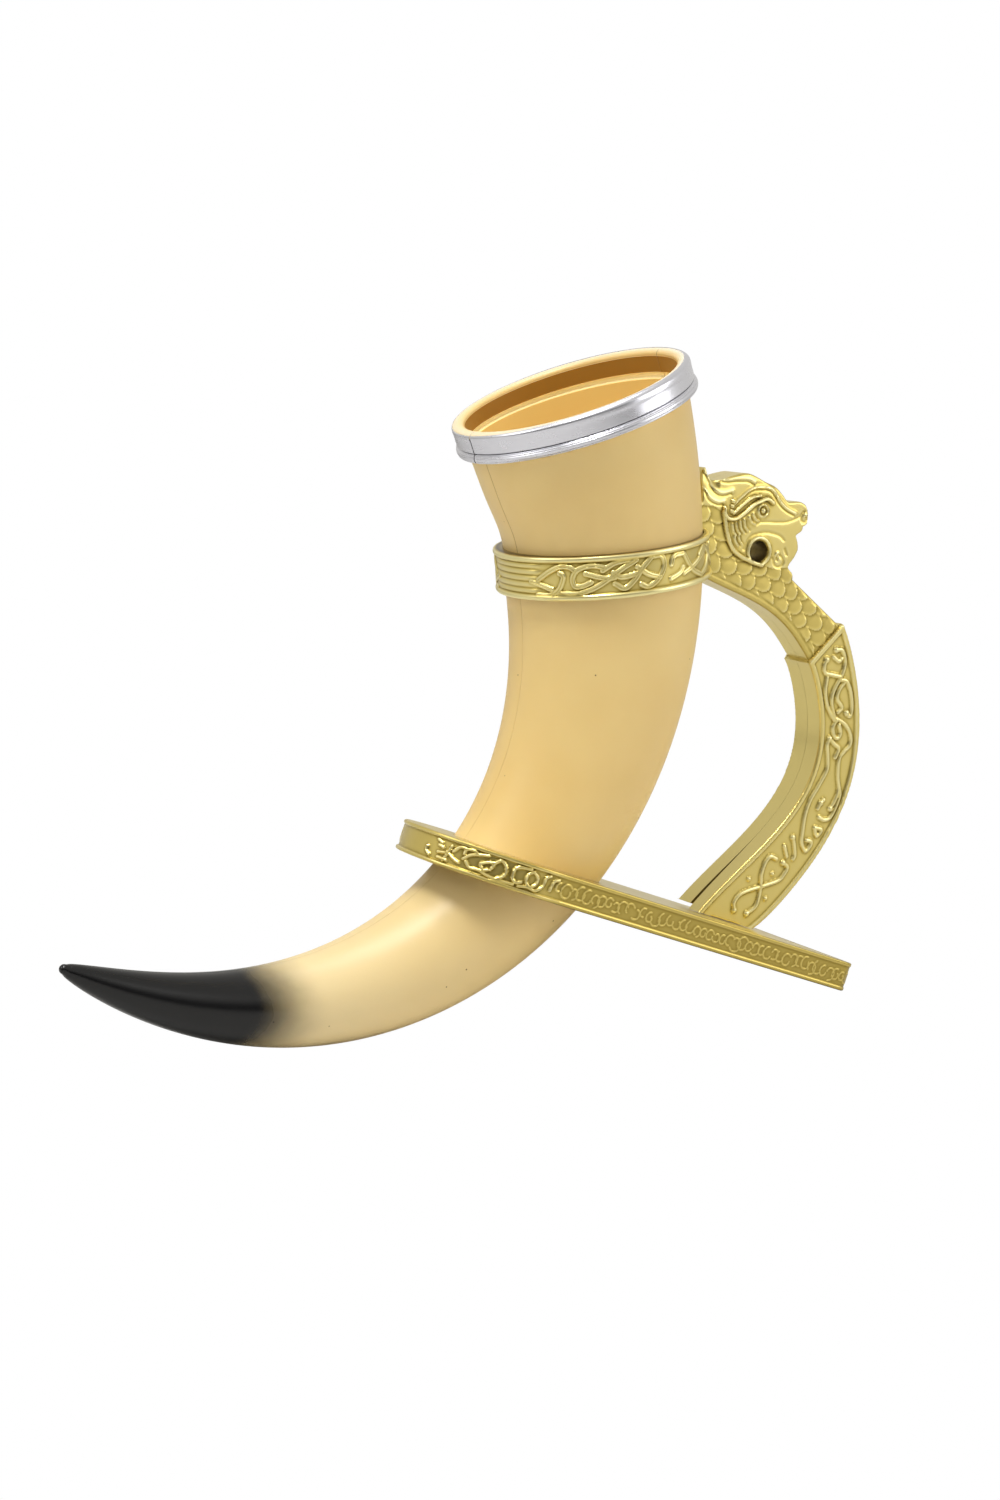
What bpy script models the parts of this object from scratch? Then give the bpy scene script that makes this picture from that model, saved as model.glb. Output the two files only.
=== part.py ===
"""Drinking horn mug: a curved horn in two moulded halves, held in a gold frame.

The frame is a collar round the upper horn, a dragon-headed handle in two half
shells, and a plank-shaped base that the horn passes through.  The mug stands on
the belly of the horn and on the tail of the base.  Metres, +Z up.  The plane
y = 0 is the parting plane of the horn and of the handle; the handle is at +X.
"""

import math

import bmesh
import bpy
import numpy as np
from mathutils import Matrix, Vector

for stale in list(bpy.data.objects):
    bpy.data.objects.remove(stale, do_unlink=True)

# Clearance that touching pieces keep
GAP = 0.0003

# Horn: centreline from the mouth to the tip, leaning back at the mouth
HORN_LENGTH = 0.3626
MOUTH_TILT = 20.4
HORN_BEND = 138.5
BEND_EARLY = 0.339
BEND_MIDDLE = 1.754
MOUTH_RADIUS = 0.0406
TIP_RADIUS = 0.0017
TAPER_POWER = 0.732
WAIST_DEPTH = 0.0021
WAIST_STATION = 0.0492
WAIST_SPREAD = 0.0142
HORN_WALL = 0.0022
CAVITY_LENGTH = 0.300
HORN_RINGS = 44
HORN_BEVEL_RESOLUTION = 11

# Mouth: cream lip, seat of the silver band, groove and shoulder inside
LIP_PROUD = 0.0022
LIP_WIDTH = 0.0045
LIP_HEIGHT = 0.0020
GROOVE_STATION = 0.0073
GROOVE_HEIGHT = 0.0018
GROOVE_DEPTH = 0.0010

# Silver band
BAND_HEIGHT = 0.0084
BAND_THICKNESS = 0.0014
BEAD_RADIUS = 0.0014
BEAD_PROUD = 0.0007
BAND_SLOT = 0.0004

# Collar
COLLAR_STATION = 0.0620
COLLAR_HEIGHT = 0.0153
COLLAR_WALL = 0.0028
COLLAR_EDGE_HEIGHT = 0.0020
COLLAR_EDGE_PROUD = 0.0006

# Base plank: the horn crosses its top face at BASE_STATION
BASE_STATION = 0.1742
BASE_TILT = 20.8
BASE_WIDTH = 0.074
BASE_THICKNESS = 0.0108
BASE_RING_SHIFT = 0.0092
BASE_CORNER = 0.005
BASE_SKIN = 0.0024
BASE_WALL = 0.0030
FOOT_FLAT = 0.0015

# Dragon head, measured from the collar's face at +X
HEAD_LENGTH = 0.0484
HEAD_HALF = 0.0070
JAW_HOLE_RADIUS = 0.0038
EYE_RADIUS = 0.0021
RIDGE_RADIUS = 0.0011
SINK = 0.00023
HEAD_BEVEL = 0.0008

# Neck and grip
STEP_REACH = 0.0582
STEP_DROP = 0.0386
STEP_ANGLE = 41.2
STEP_PROUD = 0.0013
NECK_DEPTH = 0.0092
NECK_ARCH = 0.0055
FOOT_STATION = 0.0889
GRIP_HALF = 0.0080
GRIP_WIDTH = 0.0173
STEP_FLARE = 0.0038
FOOT_FLARE = 0.0097
GRIP_BULGE = 0.0250
GRIP_LEAD = 0.85
GRIP_BEVEL = 0.0006
STEP_EASE = 8
FOOT_EASE = 6
STEP_FLARE_POWER = 6
FOOT_FLARE_POWER = 1.5
NECK_LEAD = 1.4
NECK_TUCK = 0.0040
CAVITY_START = 0.10
CAVITY_END = 0.86
SHELL_WALL = 0.0020
FAR_FOOT_SHORT = 0.0012
PEG_RADIUS = 0.0015
PEG_LENGTH = 0.0030
FOOT_PEG = 0.93

HORN_SAMPLES = 400
GRIP_SAMPLES = 26
NECK_SAMPLES = 6
TURN_STEPS = 48
BIG = 0.5
WELD = 0.00001
EDGE_STEP = 0.00005

parts = bpy.data.collections.new("drinking_horn")
cutters = bpy.data.collections.new("drinking_horn_cutters")
bpy.context.scene.collection.children.link(parts)
bpy.context.scene.collection.children.link(cutters)
root = bpy.data.objects.new("drinking_horn", None)
parts.objects.link(root)


# Helpers
def material(name, color, roughness, metallic):
    finish = bpy.data.materials.new(name)
    finish.use_nodes = True
    shader = finish.node_tree.nodes["Principled BSDF"]
    shader.inputs["Base Color"].default_value = (*color, 1.0)
    shader.inputs["Roughness"].default_value = roughness
    shader.inputs["Metallic"].default_value = metallic
    return finish


def add_mesh(name, mesh, collection, finish=None):
    """Link a mesh under the root, shaded smooth across its round faces."""
    body = bpy.data.objects.new(name, mesh)
    collection.objects.link(body)
    body.parent = root
    mesh.shade_smooth()
    mesh.set_sharp_from_angle(angle=math.radians(35))
    if finish is not None:
        mesh.materials.clear()
        mesh.materials.append(finish)
    if collection is cutters:
        body.hide_render = True
        body.display_type = "WIRE"
    return body


def welded(mesh):
    """Join the seams of a mesh and turn its faces outwards."""
    cage = bmesh.new()
    cage.from_mesh(mesh)
    bmesh.ops.remove_doubles(cage, verts=cage.verts, dist=WELD)
    bmesh.ops.dissolve_degenerate(cage, dist=WELD, edges=cage.edges)
    bmesh.ops.recalc_face_normals(cage, faces=cage.faces)
    cage.to_mesh(mesh)
    cage.free()
    return mesh


def mesh_from_curve(curve, matrix=None):
    """Evaluate a curve to a closed mesh: caps welded, place applied."""
    holder = bpy.data.objects.new(curve.name, curve)
    bpy.context.scene.collection.objects.link(holder)
    view = bpy.context.evaluated_depsgraph_get()
    mesh = bpy.data.meshes.new_from_object(holder.evaluated_get(view))
    bpy.data.objects.remove(holder, do_unlink=True)
    if matrix is not None:
        mesh.transform(matrix)
    return welded(mesh)


def tube_mesh(name, points, radii, resolution):
    """A round tube through points, with its own radius at each point."""
    curve = bpy.data.curves.new(name, "CURVE")
    curve.dimensions = "3D"
    curve.bevel_depth = 1.0
    curve.bevel_resolution = resolution
    curve.use_fill_caps = True
    curve.twist_mode = "MINIMUM"
    spline = curve.splines.new("POLY")
    spline.points.add(len(points) - 1)
    for spot, point, radius in zip(spline.points, points, radii):
        spot.co = (*point, 1.0)
        spot.radius = radius
    return mesh_from_curve(curve)


def plate_mesh(name, outline, half):
    """A flat outline in the XZ plane, extruded to y = -half and y = +half."""
    curve = bpy.data.curves.new(name, "CURVE")
    curve.dimensions = "2D"
    curve.fill_mode = "BOTH"
    curve.extrude = half
    spline = curve.splines.new("POLY")
    spline.points.add(len(outline) - 1)
    for spot, (x, z) in zip(spline.points, outline):
        spot.co = (x, z, 0.0, 1.0)
    spline.use_cyclic_u = True
    return mesh_from_curve(curve, Matrix.Rotation(math.radians(90), 4, "X"))


def ring_mesh(name, profile):
    """Turn a closed (radius, height) profile round Z, outer side running down."""
    mesh = bpy.data.meshes.new(name)
    count = len(profile)
    edges = [(i, (i + 1) % count) for i in range(count)]
    mesh.from_pydata([(r, 0.0, h) for r, h in profile], edges, [])
    holder = bpy.data.objects.new(name, mesh)
    bpy.context.scene.collection.objects.link(holder)
    screw = holder.modifiers.new("turn", "SCREW")
    screw.steps = screw.render_steps = TURN_STEPS
    screw.use_merge_vertices = True
    screw.merge_threshold = WELD
    screw.use_normal_calculate = True
    view = bpy.context.evaluated_depsgraph_get()
    turned = bpy.data.meshes.new_from_object(holder.evaluated_get(view))
    bpy.data.objects.remove(holder, do_unlink=True)
    return welded(turned)


def box_mesh(name, low, high):
    cage = bmesh.new()
    bmesh.ops.create_cube(cage, size=1.0)
    low, high = Vector(low), Vector(high)
    size = Matrix.Diagonal((*(high - low), 1.0))
    bmesh.ops.transform(cage, matrix=Matrix.Translation((low + high) / 2) @ size, verts=cage.verts)
    mesh = bpy.data.meshes.new(name)
    cage.to_mesh(mesh)
    cage.free()
    return mesh


def rod_mesh(name, radius, low, high, sides=16):
    """A cylinder along Y from low to high, centred on X = Z = 0."""
    cage = bmesh.new()
    size = {"radius1": radius, "radius2": radius, "depth": high - low}
    bmesh.ops.create_cone(cage, cap_ends=True, segments=sides, **size)
    place = Matrix.Translation((0, (low + high) / 2, 0)) @ Matrix.Rotation(math.radians(90), 4, "X")
    bmesh.ops.transform(cage, matrix=place, verts=cage.verts)
    mesh = bpy.data.meshes.new(name)
    cage.to_mesh(mesh)
    cage.free()
    return mesh


def combine(body, operation, tool):
    step = body.modifiers.new(tool.name, "BOOLEAN")
    step.operation = operation
    step.solver = "EXACT"
    step.object = tool
    return step


def bevel(body, width, angle):
    edge = body.modifiers.new("rounded_edges", "BEVEL")
    edge.width = width
    edge.segments = 2
    edge.limit_method = "ANGLE"
    edge.angle_limit = math.radians(angle)
    edge.harden_normals = False


def baked(body):
    """The object's mesh with its modifiers applied."""
    bpy.context.view_layer.update()
    view = bpy.context.evaluated_depsgraph_get()
    return welded(bpy.data.meshes.new_from_object(body.evaluated_get(view)))


# Horn centreline and radius
def horn_tilt(share):
    """Angle of the centreline from straight down, at a share of the horn's length."""
    late = 1.0 - BEND_EARLY - BEND_MIDDLE
    turn = BEND_EARLY * share + BEND_MIDDLE * share**2 + late * share**3
    return np.radians(MOUTH_TILT - HORN_BEND * turn)


samples = np.linspace(0.0, 1.0, HORN_SAMPLES)
sample_tilt = horn_tilt(samples)
headings = np.stack([np.sin(sample_tilt), -np.cos(sample_tilt)], axis=1)
middles = (headings[1:] + headings[:-1]) / 2
travel = np.cumsum(middles, axis=0) * HORN_LENGTH / (HORN_SAMPLES - 1)
centreline = np.vstack([np.zeros((1, 2)), travel])


def horn_heading(station):
    angle = horn_tilt(min(max(station / HORN_LENGTH, 0.0), 1.0))
    return Vector((math.sin(angle), 0.0, -math.cos(angle)))


def horn_point(station):
    """Centreline point at an arc length from the mouth; straight past either end."""
    inside = min(max(station, 0.0), HORN_LENGTH)
    reach = samples * HORN_LENGTH
    x = float(np.interp(inside, reach, centreline[:, 0]))
    z = float(np.interp(inside, reach, centreline[:, 1]))
    return Vector((x, 0.0, z)) + horn_heading(inside) * (station - inside)


def horn_radius(station):
    """Outer radius: a rounded cone, drawn in a little at the waist under the mouth."""
    share = min(max(station / HORN_LENGTH, 0.0), 1.0)
    cone = (MOUTH_RADIUS - TIP_RADIUS) * (1.0 - share) ** TAPER_POWER + TIP_RADIUS
    waist = WAIST_DEPTH * math.exp(-(((station - WAIST_STATION) / WAIST_SPREAD) ** 2))
    return cone - waist


def horn_tube(name, stations, radii):
    return tube_mesh(name, [horn_point(s) for s in stations], radii, HORN_BEVEL_RESOLUTION)


# Sizes of the mouth that follow from the horn's own radius
LIP_RADIUS = MOUTH_RADIUS + LIP_PROUD
BAND_RADIUS = LIP_RADIUS + BAND_THICKNESS / 10
SEAT_RADIUS = BAND_RADIUS - BAND_THICKNESS - GAP
BAND_END = LIP_HEIGHT + GAP + BAND_HEIGHT


def horn_outside():
    """Stations and radii of the outer skin: lip, band seat, horn and round tip."""
    roll = [math.radians(a) for a in (0, 30, 60, 90)]
    stations = [LIP_HEIGHT / 2 * (1 - math.sin(a)) for a in reversed(roll)]
    radii = [LIP_RADIUS - LIP_HEIGHT / 2 * (1 - math.cos(a)) for a in reversed(roll)]
    stations += [LIP_HEIGHT, LIP_HEIGHT + EDGE_STEP, BAND_END, BAND_END + EDGE_STEP]
    radii += [LIP_RADIUS, SEAT_RADIUS, SEAT_RADIUS, horn_radius(BAND_END)]
    rings = np.linspace(BAND_END, HORN_LENGTH, HORN_RINGS)[1:]
    stations += [float(s) for s in rings]
    radii += [horn_radius(s) for s in rings]
    cap = [math.radians(a) for a in (30, 60, 80)]
    stations += [HORN_LENGTH + TIP_RADIUS * math.sin(a) for a in cap]
    radii += [TIP_RADIUS * math.cos(a) for a in cap]
    return stations, radii


def horn_inside():
    """Stations and radii of the hollow: lip, groove, shoulder, wall and round end."""
    throat = LIP_RADIUS - LIP_WIDTH
    groove_end = GROOVE_STATION + GROOVE_HEIGHT
    stations = [-LIP_HEIGHT, 0.0, LIP_HEIGHT / 2, GROOVE_STATION, GROOVE_STATION + GROOVE_DEPTH / 2]
    radii = [throat + LIP_WIDTH / 5, throat + LIP_WIDTH / 5, throat, throat, throat + GROOVE_DEPTH]
    stations += [groove_end, groove_end + GROOVE_DEPTH / 2]
    radii += [throat + GROOVE_DEPTH, horn_radius(groove_end) - HORN_WALL]
    rings = np.linspace(groove_end, CAVITY_LENGTH, HORN_RINGS - 10)[1:]
    stations += [float(s) for s in rings]
    radii += [horn_radius(s) - HORN_WALL for s in rings]
    end = radii[-1]
    cap = [math.radians(a) for a in (30, 55, 75)]
    stations += [CAVITY_LENGTH + end * math.sin(a) for a in cap]
    radii += [end * math.cos(a) for a in cap]
    return stations, radii


def widened(stations, radii, clearance):
    """The same skin, grown outwards so that it can cut a seat for the horn."""
    first = stations[0] - clearance
    return [first] + stations, [radii[0] + clearance] + [r + clearance for r in radii]


# Finishes
cream = material("cream_horn_plastic", (0.74, 0.52, 0.21), 0.42, 0.0)
silver = material("silver_foil", (0.62, 0.62, 0.64), 0.25, 1.0)
gold = material("gold_paint", (0.52, 0.40, 0.10), 0.35, 0.8)

# Parting boxes
near_side = add_mesh("near_side", box_mesh("near_side", (-BIG, -BIG, -BIG), (BIG, -GAP / 2, BIG)), cutters)
far_side = add_mesh("far_side", box_mesh("far_side", (-BIG, GAP / 2, -BIG), (BIG, BIG, BIG)), cutters)

# Horn halves
outside = horn_outside()
horn_skin = horn_tube("horn_skin", *outside)
hollow = add_mesh("horn_hollow", horn_tube("horn_hollow", *horn_inside()), cutters)
horn_seat = add_mesh("horn_seat", horn_tube("horn_seat", *widened(*outside, GAP)), cutters)
for name, side in (("horn_half_near", near_side), ("horn_half_far", far_side)):
    half = add_mesh(name, horn_skin.copy(), parts, cream)
    combine(half, "DIFFERENCE", hollow)
    combine(half, "INTERSECT", side)
ground = min(v.co.z for v in horn_skin.vertices)


def across_horn(station):
    """Place whose Z runs up the horn's centreline at a station, with X towards the handle."""
    up = -horn_heading(station)
    turn = Matrix((Vector((up.z, 0, -up.x)), Vector((0, 1, 0)), up)).transposed().to_4x4()
    return Matrix.Translation(horn_point(station)) @ turn


# Silver band: a turned ring with a bead, slit at the front
def band_profile():
    inner = SEAT_RADIUS + GAP
    bead_middle = BEAD_RADIUS - BAND_HEIGHT
    roll = [math.radians(a) for a in (90, 55, 20, -15, -50, -90)]
    bead = [(BAND_RADIUS + BEAD_PROUD * math.cos(a), bead_middle + BEAD_RADIUS * math.sin(a)) for a in roll]
    edge = BAND_THICKNESS / 4
    top = [(inner, 0.0), (BAND_RADIUS - edge, 0.0), (BAND_RADIUS, -edge)]
    return top + bead + [(inner, -BAND_HEIGHT)]


rim_band = add_mesh("rim_band", ring_mesh("rim_band", band_profile()), parts, silver)
rim_band.matrix_local = across_horn(LIP_HEIGHT + GAP)
slot = box_mesh("band_slot", (-BIG, -BAND_SLOT / 2, -BIG), (0.0, BAND_SLOT / 2, BIG))
band_slot = add_mesh("band_slot", slot, cutters)
band_slot.matrix_local = rim_band.matrix_local
combine(rim_band, "DIFFERENCE", band_slot)

# Collar: a turned ring with rolled edges, bored to the horn
collar_top = COLLAR_STATION - COLLAR_HEIGHT / 2
collar_bottom = COLLAR_STATION + COLLAR_HEIGHT / 2
widest = max(horn_radius(collar_top), horn_radius(collar_bottom))
COLLAR_RADIUS = widest + GAP + COLLAR_WALL


def collar_profile():
    bore = min(horn_radius(collar_top), horn_radius(collar_bottom)) - HORN_WALL
    half = COLLAR_HEIGHT / 2
    roll = [math.radians(a) for a in (75, 30, -30, -75)]
    tall = COLLAR_EDGE_HEIGHT / 2

    def rolled(middle):
        proud = COLLAR_EDGE_PROUD
        return [(COLLAR_RADIUS + proud * math.cos(a), middle + tall * math.sin(a)) for a in roll]

    return [(bore, half)] + rolled(half - tall) + rolled(tall - half) + [(bore, -half)]


collar = add_mesh("collar", ring_mesh("collar", collar_profile()), parts, gold)
collar.matrix_local = across_horn(COLLAR_STATION)
combine(collar, "DIFFERENCE", horn_seat)

# Base: a plank with a round end, tilted so that its tail reaches the table
base_angle = math.radians(BASE_TILT)
along = Vector((math.cos(base_angle), 0.0, -math.sin(base_angle)))
upright = Vector((math.sin(base_angle), 0.0, math.cos(base_angle)))
crossing = horn_point(BASE_STATION)
under_height = (crossing - upright * BASE_THICKNESS).z - ground
tail = under_height / math.sin(base_angle) + FOOT_FLAT / math.cos(base_angle)
base_place = Matrix((along, Vector((0, 1, 0)), upright)).transposed().to_4x4()
base_place = Matrix.Translation(crossing) @ base_place


def plank_outline(inset):
    """Plan of the plank: half circle round the horn, straight sides, small tail corners."""
    radius = BASE_WIDTH / 2 - inset
    corner = max(BASE_CORNER - inset, BASE_CORNER / 5)
    end = tail - inset
    front = [math.radians(a) for a in np.linspace(90, 270, 25)]
    points = [(radius * math.cos(a) - BASE_RING_SHIFT, radius * math.sin(a)) for a in front]
    for side, start in ((-1, -90), (1, 0)):
        arc = [math.radians(start + a) for a in (0, 30, 60, 90)]
        middle = side * (radius - corner)
        points += [(end - corner + corner * math.cos(a), middle + corner * math.sin(a)) for a in arc]
    return points


def plank_mesh(name, outline, low, high):
    """A plan outline, extruded between two heights below the plank's top face."""
    curve = bpy.data.curves.new(name, "CURVE")
    curve.dimensions = "2D"
    curve.fill_mode = "BOTH"
    curve.extrude = (high - low) / 2
    spline = curve.splines.new("POLY")
    spline.points.add(len(outline) - 1)
    for spot, (x, y) in zip(spline.points, outline):
        spot.co = (x, y, 0.0, 1.0)
    spline.use_cyclic_u = True
    return mesh_from_curve(curve, Matrix.Translation((0, 0, (low + high) / 2)))


base = add_mesh("base", plank_mesh("base", plank_outline(0.0), -BASE_THICKNESS, 0.0), parts, gold)
base.matrix_local = base_place
bevel(base, HEAD_BEVEL, 60)
under = plank_mesh("base_hollow", plank_outline(BASE_WALL), -BIG / 10, -BASE_SKIN)
base_hollow = add_mesh("base_hollow", under, cutters)
base_hollow.matrix_local = base_place
sleeve_ends = [BASE_STATION - BASE_WIDTH / 2, BASE_STATION + BASE_WIDTH / 2]
sleeve_stations = [float(s) for s in np.linspace(*sleeve_ends, 12)]
sleeve_radii = [horn_radius(s) + GAP + BASE_WALL for s in sleeve_stations]
sleeve = add_mesh("base_sleeve", horn_tube("base_sleeve", sleeve_stations, sleeve_radii), cutters)
combine(base_hollow, "DIFFERENCE", sleeve)
combine(base, "DIFFERENCE", base_hollow)
combine(base, "DIFFERENCE", horn_seat)
table = add_mesh("table", box_mesh("table", (-BIG, -BIG, ground - BIG), (BIG, BIG, ground)), cutters)
combine(base, "DIFFERENCE", table)

# Handle: head and neck outline from the collar's face, grip along a bowed path to the base
collar_place = across_horn(COLLAR_STATION)
face = collar_place @ Vector((COLLAR_RADIUS, 0.0, 0.0))
anchor = np.array([face.x, face.z])
foot = crossing + along * FOOT_STATION + upright * GAP
foot_point = np.array([foot.x, foot.z])
step_point = anchor + np.array([STEP_REACH, -STEP_DROP])


def grip_frame(share):
    """Middle of the grip, and the direction across it, at a share of its length."""
    chord = foot_point - step_point
    outward = np.array([-chord[1], chord[0]]) / np.linalg.norm(chord)
    bow = GRIP_BULGE * math.sin(math.pi * share**GRIP_LEAD)
    middle = step_point + chord * share + outward * bow
    slope = GRIP_BULGE * math.pi * GRIP_LEAD * math.cos(math.pi * share**GRIP_LEAD)
    heading = chord + outward * slope * max(share, 0.01) ** (GRIP_LEAD - 1)
    square = math.atan2(heading[0], -heading[1])
    at_step, at_foot = (1 - share) ** STEP_EASE, share**FOOT_EASE
    turned = square * (1 - at_step - at_foot) + math.radians(STEP_ANGLE) * at_step - base_angle * at_foot
    return middle, np.array([math.cos(turned), math.sin(turned)])


def grip_width(share):
    """Width of the grip: flared a little at the step and more at the foot."""
    flare = STEP_FLARE * (1 - share) ** STEP_FLARE_POWER + FOOT_FLARE * share**FOOT_FLARE_POWER
    return GRIP_WIDTH + flare


def grip_outline(inset, start, end, count):
    """Closed outline of the grip between two shares of its length, drawn in by inset."""
    inner, outer = [], []
    for share in np.linspace(start, end, count):
        middle, across = grip_frame(share)
        reach = across * (grip_width(share) / 2 - inset)
        inner.append(middle - reach)
        outer.append(middle + reach)
    return inner + outer[::-1]


# Outline of the head in shares of its length: chin, lip, snout, brow, crown and crest
HEAD_OUTLINE = (
    (0.875, -0.29), (0.875, -0.25), (0.83, -0.19), (0.915, -0.06), (0.895, 0.045), (0.945, 0.075),
    (0.96, 0.11), (1.0, 0.14), (1.0, 0.24), (0.98, 0.27), (0.895, 0.305), (0.81, 0.305),
    (0.755, 0.36), (0.685, 0.42), (0.59, 0.46), (0.485, 0.51), (0.405, 0.53), (0.29, 0.505),
    (0.18, 0.48), (0.095, 0.485), (0.055, 0.57), (0.04, 0.49), (0.02, 0.335),
)
JAW_HOLE = (0.537, -0.054)
EYE = (0.56, 0.245)
BROW = ((0.20, 0.31), (0.29, 0.25), (0.42, 0.33), (0.55, 0.37), (0.66, 0.315))
BEARD = ((0.205, 0.20), (0.21, 0.15), (0.265, 0.02), (0.34, -0.05), (0.435, -0.10), (0.53, -0.14))
MOUTH = ((0.575, 0.17), (0.71, 0.16), (0.84, 0.15), (0.94, 0.12))
HEAD_PEGS = ((0.30, -0.28), (0.40, 0.30))


def on_head(spot):
    return anchor + np.array(spot) * HEAD_LENGTH


def neck_outline():
    """Head and neck: under the neck from the collar, into the grip, and back over the head."""
    middle, across = grip_frame(0.0)
    reach = across * (grip_width(0.0) / 2 - STEP_PROUD)
    inner, outer = middle - reach, middle + reach
    start = anchor - np.array([COLLAR_WALL / 2, NECK_DEPTH])
    chord = inner - start
    lift = np.array([-chord[1], chord[0]]) / np.linalg.norm(chord)
    shares = [i / NECK_SAMPLES for i in range(NECK_SAMPLES + 1)]
    arch = [lift * NECK_ARCH * math.sin(math.pi * s**NECK_LEAD) for s in shares]
    under_edge = [start + chord * s + rise for s, rise in zip(shares, arch)]
    tuck = np.array([across[1], -across[0]]) * NECK_TUCK
    chin = on_head(HEAD_OUTLINE[0])
    back = [outer + (chin - outer) * s for s in np.linspace(0, 1, 3, endpoint=False)]
    head = [on_head(spot) for spot in HEAD_OUTLINE]
    nape = [np.array([start[0], head[-1][1]])]
    return under_edge + [inner + tuck, outer + tuck] + back + head + nape


handle = add_mesh("handle_blank", plate_mesh("handle_blank", neck_outline(), HEAD_HALF), cutters)
bevel(handle, HEAD_BEVEL, 60)
whole_grip = grip_outline(0.0, 0.0, 1.0, GRIP_SAMPLES)
grip = add_mesh("grip_blank", plate_mesh("grip_blank", whole_grip, GRIP_HALF), cutters)
bevel(grip, GRIP_BEVEL, 60)
combine(handle, "UNION", grip)


def eye_ball(name, side):
    """A ball half sunk in one face of the head."""
    cage = bmesh.new()
    bmesh.ops.create_uvsphere(cage, u_segments=12, v_segments=8, radius=EYE_RADIUS)
    mesh = bpy.data.meshes.new(name)
    cage.to_mesh(mesh)
    cage.free()
    ball = add_mesh(name, mesh, cutters)
    ball.location = (on_head(EYE)[0], side * (HEAD_HALF - SINK), on_head(EYE)[1])
    return ball


def ridge(name, spots, radius, side):
    """A raised cord that lies half sunk in one face of the head."""
    depth = side * (HEAD_HALF - SINK)
    points = [(*on_head(spot)[:1], depth, on_head(spot)[1]) for spot in spots]
    return add_mesh(name, tube_mesh(name, points, [radius] * len(points), 2), cutters)


for label, side in (("near", -1), ("far", 1)):
    combine(handle, "UNION", eye_ball("eye_" + label, side))
    combine(handle, "UNION", ridge("brow_" + label, BROW, RIDGE_RADIUS, side))
    combine(handle, "UNION", ridge("beard_" + label, BEARD, RIDGE_RADIUS, side))
    combine(handle, "DIFFERENCE", ridge("mouth_" + label, MOUTH, RIDGE_RADIUS / 2, side))

jaw_hole = add_mesh("jaw_hole", rod_mesh("jaw_hole", JAW_HOLE_RADIUS, -BIG / 10, BIG / 10, 20), cutters)
jaw_hole.location = (on_head(JAW_HOLE)[0], 0.0, on_head(JAW_HOLE)[1])
combine(handle, "DIFFERENCE", jaw_hole)
cavity_outline = grip_outline(SHELL_WALL, CAVITY_START, CAVITY_END, GRIP_SAMPLES)
cavity = plate_mesh("grip_cavity", cavity_outline, GRIP_HALF - SHELL_WALL)
grip_cavity = add_mesh("grip_cavity", cavity, cutters)
combine(handle, "DIFFERENCE", grip_cavity)
seat_core = COLLAR_RADIUS / 8
seat_radius = COLLAR_RADIUS + COLLAR_EDGE_PROUD + GAP
seat_half = COLLAR_HEIGHT / 2 + GAP
seat_profile = [(seat_core, seat_half), (seat_radius, seat_half)]
seat_profile += [(seat_radius, -seat_half), (seat_core, -seat_half)]
seat = add_mesh("collar_seat", ring_mesh("collar_seat", seat_profile), cutters)
seat.matrix_local = collar_place
combine(handle, "DIFFERENCE", seat)

# Handle halves: two moulds part the blank, with pegs on the near half and sockets in the far one
near_mould = add_mesh("near_mould", near_side.data.copy(), cutters)
far_mould = add_mesh("far_mould", far_side.data.copy(), cutters)
peg_places = [on_head(spot) for spot in HEAD_PEGS] + [grip_frame(FOOT_PEG)[0]]
for index, (x, z) in enumerate(peg_places):
    peg_rod = rod_mesh("peg", PEG_RADIUS, -PEG_LENGTH, PEG_LENGTH - GAP)
    socket_rod = rod_mesh("socket", PEG_RADIUS + GAP, -PEG_LENGTH, PEG_LENGTH)
    peg = add_mesh(f"peg_{index}", peg_rod, cutters)
    socket = add_mesh(f"socket_{index}", socket_rod, cutters)
    peg.location = socket.location = (x, 0.0, z)
    combine(near_mould, "UNION", peg)
    combine(far_mould, "DIFFERENCE", socket)
shortfall = box_mesh("far_foot", (-BIG, -BIG, -BIG), (2 * BIG, BIG, FAR_FOOT_SHORT))
far_foot = add_mesh("far_foot", shortfall, cutters)
far_foot.matrix_local = base_place
combine(far_mould, "DIFFERENCE", far_foot)
blank = baked(handle)
for name, mould in (("handle_half_near", near_mould), ("handle_half_far", far_mould)):
    half = add_mesh(name, blank.copy(), parts, gold)
    combine(half, "INTERSECT", mould)

# Stand the mug on the table, with the origin under the middle of its box
bpy.context.view_layer.update()
depsgraph = bpy.context.evaluated_depsgraph_get()
corners = []
for body in parts.objects:
    if body.type == "MESH":
        posed = body.evaluated_get(depsgraph)
        corners += [posed.matrix_world @ Vector(corner) for corner in posed.bound_box]
low_x, high_x = min(c.x for c in corners), max(c.x for c in corners)
root.location = (-(low_x + high_x) / 2, 0.0, -ground)
bpy.context.view_layer.update()
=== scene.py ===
# %% [markdown]
# Drinking horn, looks
#
# A cream plastic drinking horn with a black tip, a silver rim band, a gold collar, a gold dragon handle and
# a gold foot plank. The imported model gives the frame. Each of its seven pieces gets a finer skin here: the
# same sizes, with the ornament carved as real relief.

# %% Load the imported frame
import math

import bpy
import numpy as np
from mathutils import Matrix, Vector
from mathutils.geometry import delaunay_2d_cdt


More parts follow.
